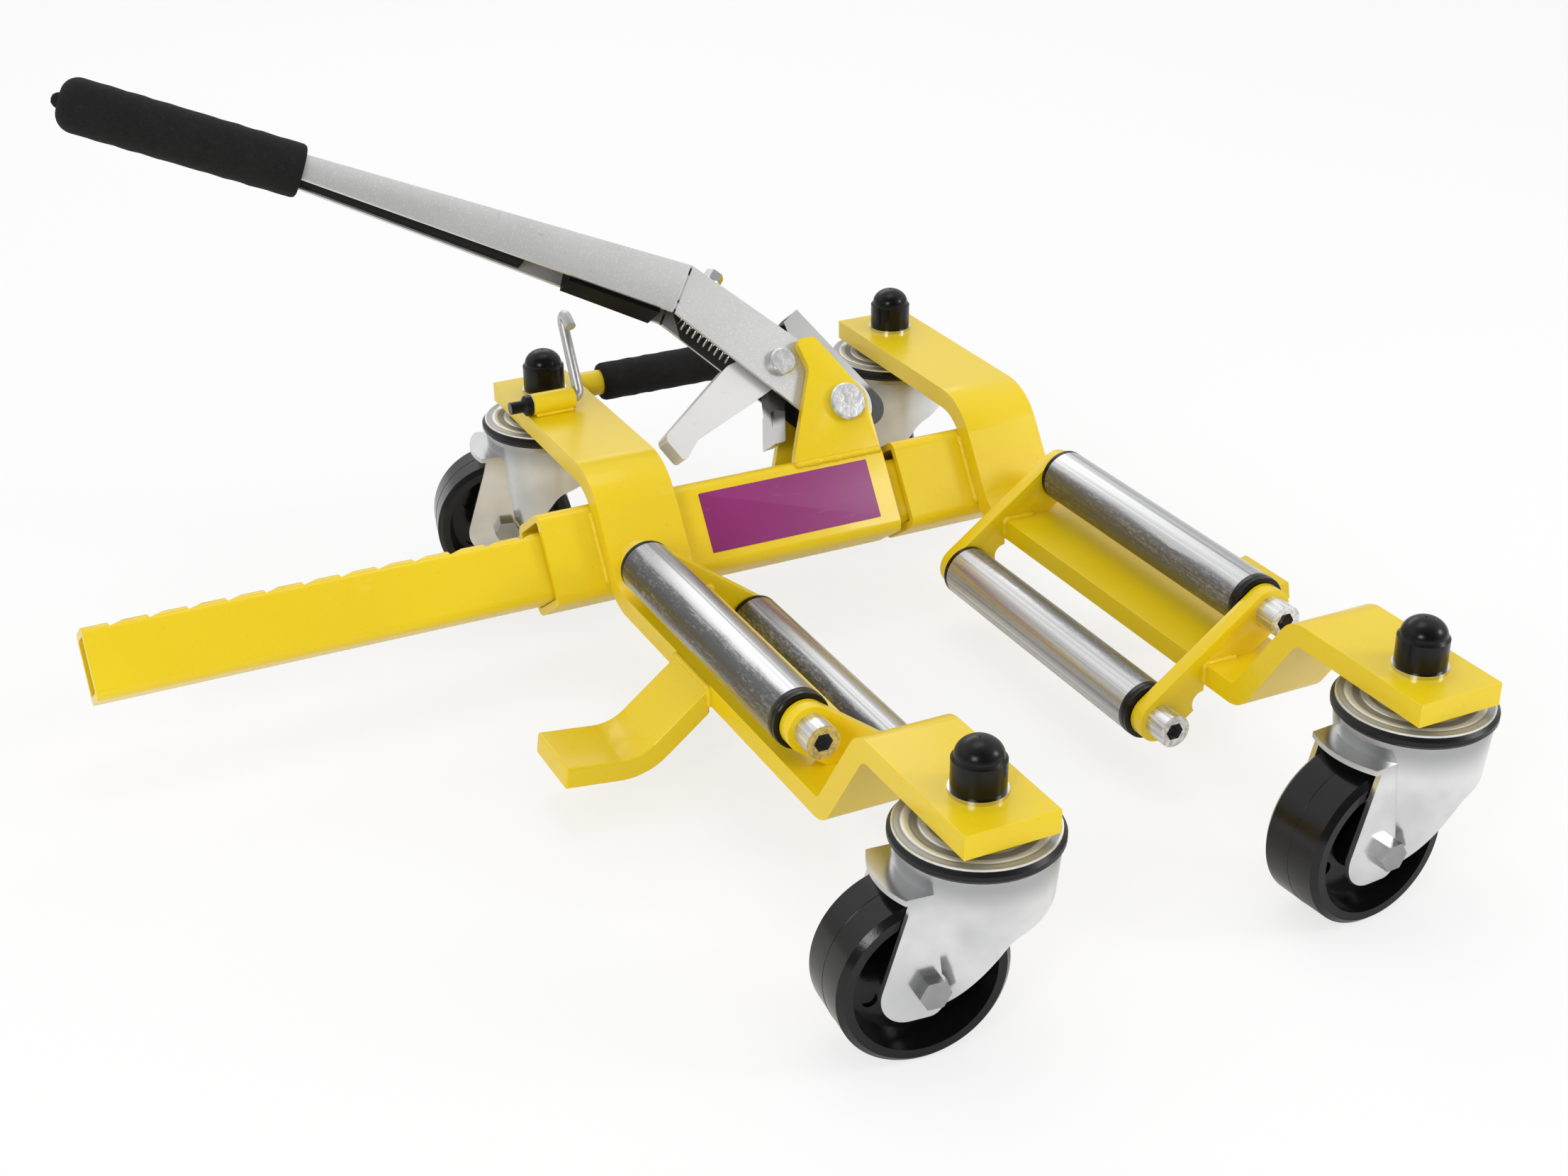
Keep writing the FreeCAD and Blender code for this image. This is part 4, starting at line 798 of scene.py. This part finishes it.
def link_blank(span):
    """A flat plate with round ends, pulled out of a disc: half of its rim moves off by the span."""
    deselect()
    bpy.ops.mesh.primitive_circle_add(
        vertices=LINK_FACETS, radius=LINK_ROUND, fill_type="NGON", location=(0, 0, 0)
    )
    piece = bpy.context.object
    bpy.ops.object.mode_set(mode="EDIT")
    bpy.ops.mesh.select_all(action="SELECT")
    half_facet = math.pi / LINK_FACETS
    bpy.ops.transform.rotate(value=half_facet, orient_axis="Z", center_override=(0, 0, 0))
    bpy.ops.mesh.select_mode(type="VERT")
    bpy.ops.mesh.select_all(action="DESELECT")
    bpy.ops.object.mode_set(mode="OBJECT")
    for vertex in piece.data.vertices:
        vertex.select = vertex.co.x > 0
    bpy.ops.object.mode_set(mode="EDIT")
    bpy.ops.transform.translate(value=(span, 0, 0))
    bpy.ops.mesh.select_all(action="SELECT")
    pull((0, 0, LINK_THICK))
    bpy.ops.object.mode_set(mode="OBJECT")
    return piece


def bracket_link(name, node, body, sign, front):
    """A slanted link seated on the bar's top and inner side, with a relief at the bar's edge."""
    (high_x, high_z), (low_x, low_z) = ROLLER_CENTRES
    piece = link_blank(math.hypot(high_x - low_x, high_z - low_z))
    along = Vector((sign * (high_x - low_x), 0, high_z - low_z)).normalized()
    inward = Vector((0, 1, 0))
    lay(piece, (sign * low_x, front, low_z), along, inward.cross(along), inward)
    middle = front + LINK_THICK / 2
    lean = (high_z - low_z) / (high_x - low_x)
    relief_z = low_z + (BAR_INNER - low_x) * lean - LINK_ROUND * math.hypot(1, lean)
    cut_away(piece, bar_cutter(sign, middle))
    cut_away(piece, round_cutter(sign * BAR_INNER, middle, relief_z, LINK_RELIEF))
    for x, z in ROLLER_CENTRES:
        cut_away(piece, round_cutter(sign * x, middle, z, LINK_HOLE))
    round_edges(piece, LINK_EDGE)
    bpy.ops.object.modifier_apply(modifier="softened_edges")
    settle(piece, name, frame_paint, body, smooth=25)
    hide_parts(node)


for side, sign, body in SIDES:
    for end, face in (("front", LINK_FRONT), ("rear", LINK_REAR)):
        bracket_link("%s_%s_link" % (side, end), "%s_bracket_%s" % (side, end), body, sign, face)

# Weld beads: thickness by what they join, and how far their middles stand off the faces
BEAD_SIDES = 12
BEAD_PULL = 0.0022
TUBE_BEAD = 0.0026
BAR_BEAD = 0.0022
HANDLE_BEAD = 0.0018
BOSS_BEAD = 0.0016
SEAM_OFF = 0.0004
FACE_OFF = 0.0003
EAR_LEFT, EAR_RIGHT, EAR_FOOT = -0.0135, 0.0445, 0.0535
TUBE_SEAM_LOW, TUBE_SEAM_HIGH = 0.0075, 0.0500
BRACKET_SEAM_TOP, BRACKET_SEAM_SIDE = 0.020, 0.0115
PEDAL_FORE, PEDAL_AFT = -0.00055, 0.04395
PEDAL_SEAM_TOP, PEDAL_SEAM_DOWN = 0.0692, 0.0100
PEDAL_RIDGE_OFF, PEDAL_RIDGE_FORE = 0.0006, -0.0002
PEDAL_RIDGE_TOP, PEDAL_RIDGE_LONG = 0.0697, 0.0438
HANDLE_SEAM_OUT, HANDLE_SEAM_OFF = 0.0081, 0.0006
HANDLE_SEAM_DROP, HANDLE_SEAM_UP = 0.0036, 0.0085
BOSS_SEAM_IN, BOSS_SEAM_SHARE = 0.002, 0.62
BOSS_SEAM_RISE, BOSS_SEAM_LONG = 0.0012, 0.024


def bead(name, start, end, size, body):
    """A painted weld bead laid in short pulls from one point to another."""
    start, end = Vector(start), Vector(end)
    length = (end - start).length
    pulls = max(4, int(length / BEAD_PULL))
    stations = [(size * 0.3, -size * 0.5)]
    for i in range(pulls + 1):
        wave = 0.88 + 0.12 * math.sin(i * 2.2) + 0.07 * math.sin(i * 0.9 + length * 700)
        stations.append((size * wave, length * i / pulls))
    stations.append((size * 0.3, length + size * 0.5))
    piece = turned(stations, BEAD_SIDES)
    bpy.ops.object.mode_set(mode="EDIT")
    bpy.ops.mesh.select_all(action="DESELECT")
    bpy.ops.object.mode_set(mode="OBJECT")
    count = len(piece.data.vertices)
    close_ring(piece, range(count - BEAD_SIDES, count))
    aim(piece, start, end - start)
    settle(piece, name, frame_paint, body, smooth=70)


def tube_welds():
    """Beads at the feet of the ears, and where the bars cross the sleeve and the collar."""
    for label, depth in (("front", SEAM_OFF), ("rear", SLEEVE_DEPTH - SEAM_OFF)):
        start, end = (tube_point(x, EAR_FOOT, depth) for x in (EAR_LEFT, EAR_RIGHT))
        bead("ear_%s_weld" % label, start, end, TUBE_BEAD, "base")
    for label, x, body in (
        ("sleeve_outer", -BAR_OUTER - SEAM_OFF, "base"),
        ("sleeve_inner", -BAR_INNER + SEAM_OFF, "base"),
        ("collar_inner", BAR_INNER - SEAM_OFF, "carriage"),
    ):
        start, end = (tube_point(x, up, -FACE_OFF) for up in (TUBE_SEAM_LOW, TUBE_SEAM_HIGH))
        bead(label + "_weld", start, end, TUBE_BEAD, body)


def bracket_welds(side, sign, body):
    for end, face in (("front", LINK_FRONT), ("rear", LINK_REAR)):
        for label, y in (("fore", face), ("aft", face + LINK_THICK)):
            name = "%s_%s_bracket_%s_weld" % (side, end, label)
            corner = Vector((sign * (BAR_INNER - FACE_OFF), y, BAR_LOW_TOP + FACE_OFF))
            over = Vector((sign * BRACKET_SEAM_TOP, 0, 0))
            down = Vector((0, 0, BRACKET_SEAM_SIDE))
            bead(name + "_top", corner, corner + over, BAR_BEAD, body)
            bead(name + "_side", corner, corner - down, BAR_BEAD, body)


def pedal_welds(side, sign, body):
    for label, y in (("fore", PEDAL_FORE), ("aft", PEDAL_AFT)):
        spot = Vector((sign * (BAR_OUTER + SEAM_OFF), y, PEDAL_SEAM_TOP))
        down = Vector((0, 0, PEDAL_SEAM_DOWN))
        bead("%s_pedal_%s_weld" % (side, label), spot, spot - down, BAR_BEAD, body)
    ridge = Vector((sign * (BAR_OUTER + PEDAL_RIDGE_OFF), PEDAL_RIDGE_FORE, PEDAL_RIDGE_TOP))
    back = Vector((0, PEDAL_RIDGE_LONG, 0))
    bead("%s_pedal_top_weld" % side, ridge, ridge + back, BAR_BEAD, body)


def handle_and_hook_welds():
    for label, y in (("fore", -HANDLE_SEAM_OUT), ("aft", HANDLE_SEAM_OUT)):
        spot = Vector((-BAR_INNER + HANDLE_SEAM_OFF, HANDLE_Y + y, HANDLE_Z - HANDLE_SEAM_DROP))
        rise = Vector((0, 0, HANDLE_SEAM_UP))
        bead("handle_%s_weld" % label, spot, spot + rise, HANDLE_BEAD, "base")
        spot = Vector((
            BOSS_LEFT + BOSS_SEAM_IN, HOOK_Y + y * BOSS_SEAM_SHARE, BAR_END_TOP + BOSS_SEAM_RISE
        ))
        run = Vector((BOSS_SEAM_LONG, 0, 0))
        bead("hook_boss_%s_weld" % label, spot, spot + run, BOSS_BEAD, "base")


tube_welds()
for side, sign, body in SIDES:
    bracket_welds(side, sign, body)
    pedal_welds(side, sign, body)
handle_and_hook_welds()

# Plain panel on the sleeve's front face
PANEL_LEFT, PANEL_RIGHT = -0.0834, 0.0334
PANEL_LOW, PANEL_HIGH = 0.0108, 0.0487
PANEL_CORNER = 0.0008
PANEL_THICK = 0.00022
PANEL_RIM, PANEL_DOMED = 0.0002, 0.00005
PANEL_CLEAR = 0.00001


def panel():
    """A thin plain plate with rounded corners, lying on the sleeve's front face."""
    piece = square()
    size = (PANEL_RIGHT - PANEL_LEFT, PANEL_HIGH - PANEL_LOW, 1)
    bpy.ops.transform.resize(value=size, center_override=(0, 0, 0))
    bpy.ops.mesh.bevel(offset=PANEL_CORNER, segments=4, affect="VERTICES")
    bpy.ops.mesh.select_all(action="SELECT")
    pull((0, 0, PANEL_THICK))
    bpy.ops.mesh.inset(thickness=PANEL_RIM, depth=PANEL_DOMED)
    bpy.ops.object.mode_set(mode="OBJECT")
    middle = tube_point(
        (PANEL_LEFT + PANEL_RIGHT) / 2, (PANEL_LOW + PANEL_HIGH) / 2, -PANEL_CLEAR
    )
    right = Vector((1, 0, 0))
    up = tube_way(0, 1, 0)
    lay(piece, middle, right, up, right.cross(up))
    settle(piece, "sleeve_panel", purple, "base", smooth=30)


panel()

# Filler strip in the lever's open edge
FILLER_START = 0.100
FILLER_END = GRIP_RUN - 0.0005
FILLER_SUNK = 0.0012
FILLER_HEIGHT = 0.006
FILLER_WALL = 0.0027
FILLER_EDGE = 0.0005


def filler_end(run):
    """The strip's lower edge and half width, at a distance from the lever's bend."""
    arm = run / GRIP_RUN
    edge = -LEVER_HALF + (2 * LEVER_HALF - 2 * LEVER_TIP_HALF) * arm + FILLER_SUNK
    return edge, LEVER_WIDE + (LEVER_TIP_WIDE - LEVER_WIDE) * arm - FILLER_WALL


def filler():
    """A tapering strip pressed into the lever's open edge, over three fifths of the upper arm."""
    near_edge, near_half = filler_end(FILLER_START)
    far_edge, far_half = filler_end(FILLER_END)
    piece = square()
    bpy.ops.transform.resize(value=(FILLER_HEIGHT, 2 * near_half, 1), center_override=(0, 0, 0))
    bpy.ops.transform.translate(value=(near_edge + FILLER_HEIGHT / 2, 0, FILLER_START))
    pull((far_edge - near_edge, 0, FILLER_END - FILLER_START))
    narrowed = (1, far_half / near_half, 1)
    bpy.ops.transform.resize(value=narrowed, center_override=(0, 0, FILLER_END))
    bpy.ops.mesh.select_all(action="SELECT")
    bpy.ops.mesh.bevel(offset=FILLER_EDGE, segments=2, affect="EDGES")
    bpy.ops.object.mode_set(mode="OBJECT")
    middle = lever_point(0, 0, SLEEVE_DEPTH / 2)
    across = lever_point(0, 1, SLEEVE_DEPTH / 2) - middle
    along = lever_point(1, 0, SLEEVE_DEPTH / 2) - middle
    lay(piece, middle, across, along.cross(across), along)
    settle(piece, "lever_filler", filler_plastic, "lever", smooth=35)


filler()

# Washer between the hook's boss and its cap
WASHER_SIDES = 48
WASHER_HOLE = 0.0034
WASHER_RADIUS = 0.0066
WASHER_BULGE = 0.0068
WASHER_THICK = 0.0003
WASHER_GAP = 0.00005


def hook_washer():
    stations = [
        (WASHER_HOLE, 0.0), (WASHER_RADIUS, 0.0), (WASHER_BULGE, 0.4 * WASHER_THICK),
        (WASHER_RADIUS, WASHER_THICK), (WASHER_HOLE, WASHER_THICK), (WASHER_HOLE, 0.0),
    ]
    piece = turned(stations, WASHER_SIDES, close_start=False)
    aim(piece, Vector((BOSS_LEFT - WASHER_GAP, HOOK_Y, HOOK_Z)), (-1, 0, 0))
    settle(piece, "hook_washer", bright_zinc, "base", smooth=30)


hook_washer()

# Domes on the stem caps
DOME_BASE = CAP_RADIUS * 0.90
DOME_RISE = CAP_TOP - CAP_SKIRT_TOP
DOME_SUNK = 0.0004
DOME_LIP = 0.0003
DOME_STEPS = 14
DOME_STEP_DEGREES = 6
DOME_SIDES = 64


def cap_domes():
    """A full dome with a moulding nub, seated on each cap's skirt."""
    stations = [
        (DOME_BASE * 0.05, -DOME_SUNK), (DOME_BASE + DOME_LIP, -DOME_SUNK),
        (DOME_BASE + DOME_LIP, 0.0002), (DOME_BASE, 0.0005),
    ]
    for i in range(1, DOME_STEPS + 1):
        angle = math.radians(DOME_STEP_DEGREES * i)
        stations.append((DOME_BASE * math.cos(angle), DOME_RISE * math.sin(angle)))
    stations += [
        (0.0009, DOME_RISE - 0.0001), (0.0006, DOME_RISE + 0.0002), (0.0001, DOME_RISE + 0.00025),
    ]
    for side, sign, body in SIDES:
        for end, y in (("front", FRONT_CASTER_Y), ("rear", REAR_CASTER_Y)):
            piece = turned(stations, DOME_SIDES)
            aim(piece, Vector((sign * CASTER_X, y, CAP_SKIRT_TOP)), (0, 0, 1))
            settle(piece, "%s_%s_cap_dome" % (end, side), black_plastic, body, smooth=35)


cap_domes()

# Rollers at the photograph's diameter, in place of the thicker solids
ROLLER_SIDES = 96
ROLLER_BORE = 0.01225
ROLLER_EDGE = 0.0006
BUSH_HOLE = 0.00505
BUSH_FLANGE = 0.0030
BUSH_SPIGOT = 0.0160
BUSH_EDGE = 0.0005
COLLAR_OUTER = ROLLER_RADIUS + 0.00018
COLLAR_INNER = ROLLER_RADIUS - 0.0006
COLLAR_LENGTH = 0.0039
COLLAR_EDGE = 0.0003
COLLAR_REAR_EDGE = 0.0002
COLLAR_AHEAD = 0.0001


def roller_line(name):
    """The front end of a roller's axis, and the tube's length."""
    low, high = (Vector(corner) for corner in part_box(name))
    return Vector(((low.x + high.x) / 2, low.y, (low.z + high.z) / 2)), high.y - low.y


def roller_tube(name, start, length):
    """A drawn tube with broken edges, pulled from its bore out and back."""
    stations = [
        (ROLLER_BORE, 0.0), (ROLLER_RADIUS - ROLLER_EDGE, 0.0), (ROLLER_RADIUS, ROLLER_EDGE),
        (ROLLER_RADIUS, length / 2), (ROLLER_RADIUS, length - ROLLER_EDGE),
        (ROLLER_RADIUS - ROLLER_EDGE, length), (ROLLER_BORE, length), (ROLLER_BORE, 0.0),
    ]
    piece = turned(stations, ROLLER_SIDES, close_start=False)
    aim(piece, start, (0, 1, 0))
    settle(piece, name + "_tube", roller_steel[name], name + "_body", smooth=35)
    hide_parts(name)


def roller_bushes(name, node, start, length):
    """The flanged bushes at a roller's two ends, as one piece."""
    stations = [
        (BUSH_HOLE, -BUSH_FLANGE), (ROLLER_RADIUS - BUSH_EDGE, -BUSH_FLANGE),
        (ROLLER_RADIUS, BUSH_EDGE - BUSH_FLANGE), (ROLLER_RADIUS, 0.0), (ROLLER_BORE, 0.0),
        (ROLLER_BORE, BUSH_SPIGOT), (BUSH_HOLE, BUSH_SPIGOT), (BUSH_HOLE, -BUSH_FLANGE),
    ]
    front = turned(stations, ROLLER_SIDES, close_start=False)
    aim(front, start, (0, 1, 0))
    rear = turned(stations, ROLLER_SIDES, close_start=False)
    aim(rear, start + Vector((0, length, 0)), (0, -1, 0))
    front.select_set(True)
    bpy.ops.object.join()
    settle(rear, name + "_bush_pair", black_plastic, name + "_body", smooth=35)
    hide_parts(node)


def roller_ring(name, start):
    """The bush's black collar over the front end of a roller tube."""
    stations = [
        (COLLAR_INNER, 0.0), (COLLAR_OUTER - COLLAR_EDGE, 0.0), (COLLAR_OUTER, COLLAR_EDGE),
        (COLLAR_OUTER, COLLAR_LENGTH - COLLAR_EDGE),
        (COLLAR_OUTER - COLLAR_REAR_EDGE, COLLAR_LENGTH), (COLLAR_INNER, COLLAR_LENGTH),
        (COLLAR_INNER, 0.0),
    ]
    piece = turned(stations, ROLLER_SIDES, close_start=False)
    aim(piece, start - Vector((0, COLLAR_AHEAD, 0)), (0, 1, 0))
    settle(piece, name + "_ring", black_plastic, name + "_body", smooth=35)


def rollers():
    for side, _, _ in SIDES:
        for level in ROLLER_LEVELS:
            name = "%s_roller_%s" % (side, level)
            start, length = roller_line(name)
            roller_tube(name, start, length)
            roller_bushes(name, "%s_bushes_%s" % (side, level), start, length)
            roller_ring(name, start)


rollers()

# Moulding lines round the wheels
FLASH_SIDES = 120
FLASH_FOOT, FLASH_FOOT_WIDE = WHEEL_RADIUS - 0.0006, 0.0006
FLASH_SIDE, FLASH_SIDE_WIDE = WHEEL_RADIUS + 0.00004, 0.0002
FLASH_TOP = WHEEL_RADIUS + 0.00016


def tread_lines():
    """A fine flash line left by the mould round the middle of each tread."""
    stations = [
        (FLASH_FOOT, -FLASH_FOOT_WIDE), (FLASH_SIDE, -FLASH_SIDE_WIDE), (FLASH_TOP, 0.0),
        (FLASH_SIDE, FLASH_SIDE_WIDE), (FLASH_FOOT, FLASH_FOOT_WIDE),
        (FLASH_FOOT, -FLASH_FOOT_WIDE),
    ]
    for joint in frame["joints"]:
        if not joint["name"].endswith("_wheel_spin"):
            continue
        piece = turned(stations, FLASH_SIDES, close_start=False)
        aim(piece, Vector(joint["pos_m"]), joint["axis"])
        name = joint["name"].replace("_wheel_spin", "_tread_line")
        settle(piece, name, wheel_plastic, joint["child"], smooth=60)


tread_lines()

# Floor, light and camera
OPEN_WAY = (-0.394, -0.801, 0.451)
OPEN_START, OPEN_FULL = 0.15, 0.98
OPEN_DIM = 0.88
HORIZON_LOW, HORIZON_HIGH = 0.05, 0.55
LOW_LEVEL = 0.6
SOFT_LEVEL = 0.72
FLOOR_SIZE = 14
FLOOR_MIDDLE = (0, 2.0, 0)
FLOOR_GLOW = 0.72
# Each lamp's name, place, goal, width, height and power
LAMPS = (
    ("overhead", (0.0, 0.3, 2.2), (0, 0, 0), 1.1, 0.9, 5),
    ("left_front", (-1.9, -1.5, 1.3), (0, 0, 0.1), 0.75, 0.75, 18),
    ("right_front", (1.7, -1.3, 1.2), (0, 0, 0.1), 0.6, 0.6, 11.5),
    ("behind", (0.4, 2.2, 1.5), (0, 0, 0.15), 1.6, 0.8, 6),
)
CAMERA_AZIMUTH = math.radians(-26.19)
CAMERA_ELEVATION = math.radians(26.80)
CAMERA_ROLL = math.radians(-0.40)
CAMERA_SPOT = (-0.5917, -0.9847, 0.6748)
CAMERA_SENSOR = 36.0
CAMERA_LENS = 51.575


def backdrop(world):
    """White to the camera.

    Reflections see it white overhead, and dimmer low down and in front, where a studio is open.
    """
    world.use_nodes = True
    s = Shading(world.node_tree)
    way = s.node("ShaderNodeTexCoord", {}, {}, "Generated")
    open_front = s.step(s.along(way, OPEN_WAY), OPEN_START, OPEN_FULL)
    height = s.node("ShaderNodeSeparateXYZ", {}, {0: way}, "Z")
    rise = LOW_LEVEL + (1 - LOW_LEVEL) * s.step(height, HORIZON_LOW, HORIZON_HIGH)
    level = (1 - OPEN_DIM * open_front) * rise
    glossy = s.ray("Is Glossy Ray")
    passing = s.ray("Is Transmission Ray")
    seen = s.ray("Is Camera Ray")
    white, reflected, soft = (
        s.node("ShaderNodeBackground", {}, {"Color": (1, 1, 1, 1), "Strength": strength})
        for strength in (1.0, level, SOFT_LEVEL)
    )
    lit = s.node("ShaderNodeMixShader", {}, {0: glossy.larger(passing), 1: soft, 2: reflected})
    both = s.node("ShaderNodeMixShader", {}, {0: seen, 1: lit, 2: white})
    s.node("ShaderNodeOutputWorld", {}, {"Surface": both})


def pale_floor():
    """A white floor that keeps a faint shadow under the jack."""
    deselect()
    bpy.ops.mesh.primitive_plane_add(size=FLOOR_SIZE, location=FLOOR_MIDDLE)
    floor = bpy.context.object
    floor.name = "floor"
    f = Finish("pale_floor")
    tone = f.mix(f.noise(1.5, 2.0), grey(0.92), grey(0.94))
    lit = f.node("ShaderNodeBsdfDiffuse", {}, {"Color": tone})
    glow = f.node("ShaderNodeEmission", {}, {"Color": (1, 1, 1, 1), "Strength": 1.0})
    share = f.ray("Is Camera Ray") * FLOOR_GLOW
    both = f.node("ShaderNodeMixShader", {}, {0: share, 1: lit, 2: glow})
    floor.data.materials.append(f.closed(both))


def studio():
    pale_floor()
    world = bpy.data.worlds.new("studio")
    bpy.context.scene.world = world
    backdrop(world)
    for name, spot, goal, wide, tall, power in LAMPS:
        lamp = bpy.data.lights.new(name, "AREA")
        lamp.shape = "RECTANGLE"
        lamp.size = wide
        lamp.size_y = tall
        lamp.energy = power
        holder = bpy.data.objects.new(name, lamp)
        bpy.context.scene.collection.objects.link(holder)
        holder.location = spot
        holder.rotation_euler = (Vector(goal) - Vector(spot)).to_track_quat("-Z", "Y").to_euler()


def camera():
    """The photograph's viewpoint, worked out from the flat bars' section."""
    flat = math.cos(CAMERA_ELEVATION)
    back = Vector((
        math.sin(CAMERA_AZIMUTH) * flat, -math.cos(CAMERA_AZIMUTH) * flat,
        math.sin(CAMERA_ELEVATION),
    ))
    right = (-back).cross(Vector((0, 0, 1))).normalized()
    up = right.cross(-back)
    level = right * math.cos(CAMERA_ROLL) + up * math.sin(CAMERA_ROLL)
    top = up * math.cos(CAMERA_ROLL) - right * math.sin(CAMERA_ROLL)
    lens = bpy.data.cameras.new("camera")
    lens.sensor_width = CAMERA_SENSOR
    lens.sensor_fit = "HORIZONTAL"
    lens.lens = CAMERA_LENS
    holder = bpy.data.objects.new("camera", lens)
    bpy.context.scene.collection.objects.link(holder)
    lay(holder, CAMERA_SPOT, level, top, back)
    bpy.context.scene.camera = holder


studio()
camera()
bpy.context.scene.view_settings.view_transform = "Standard"
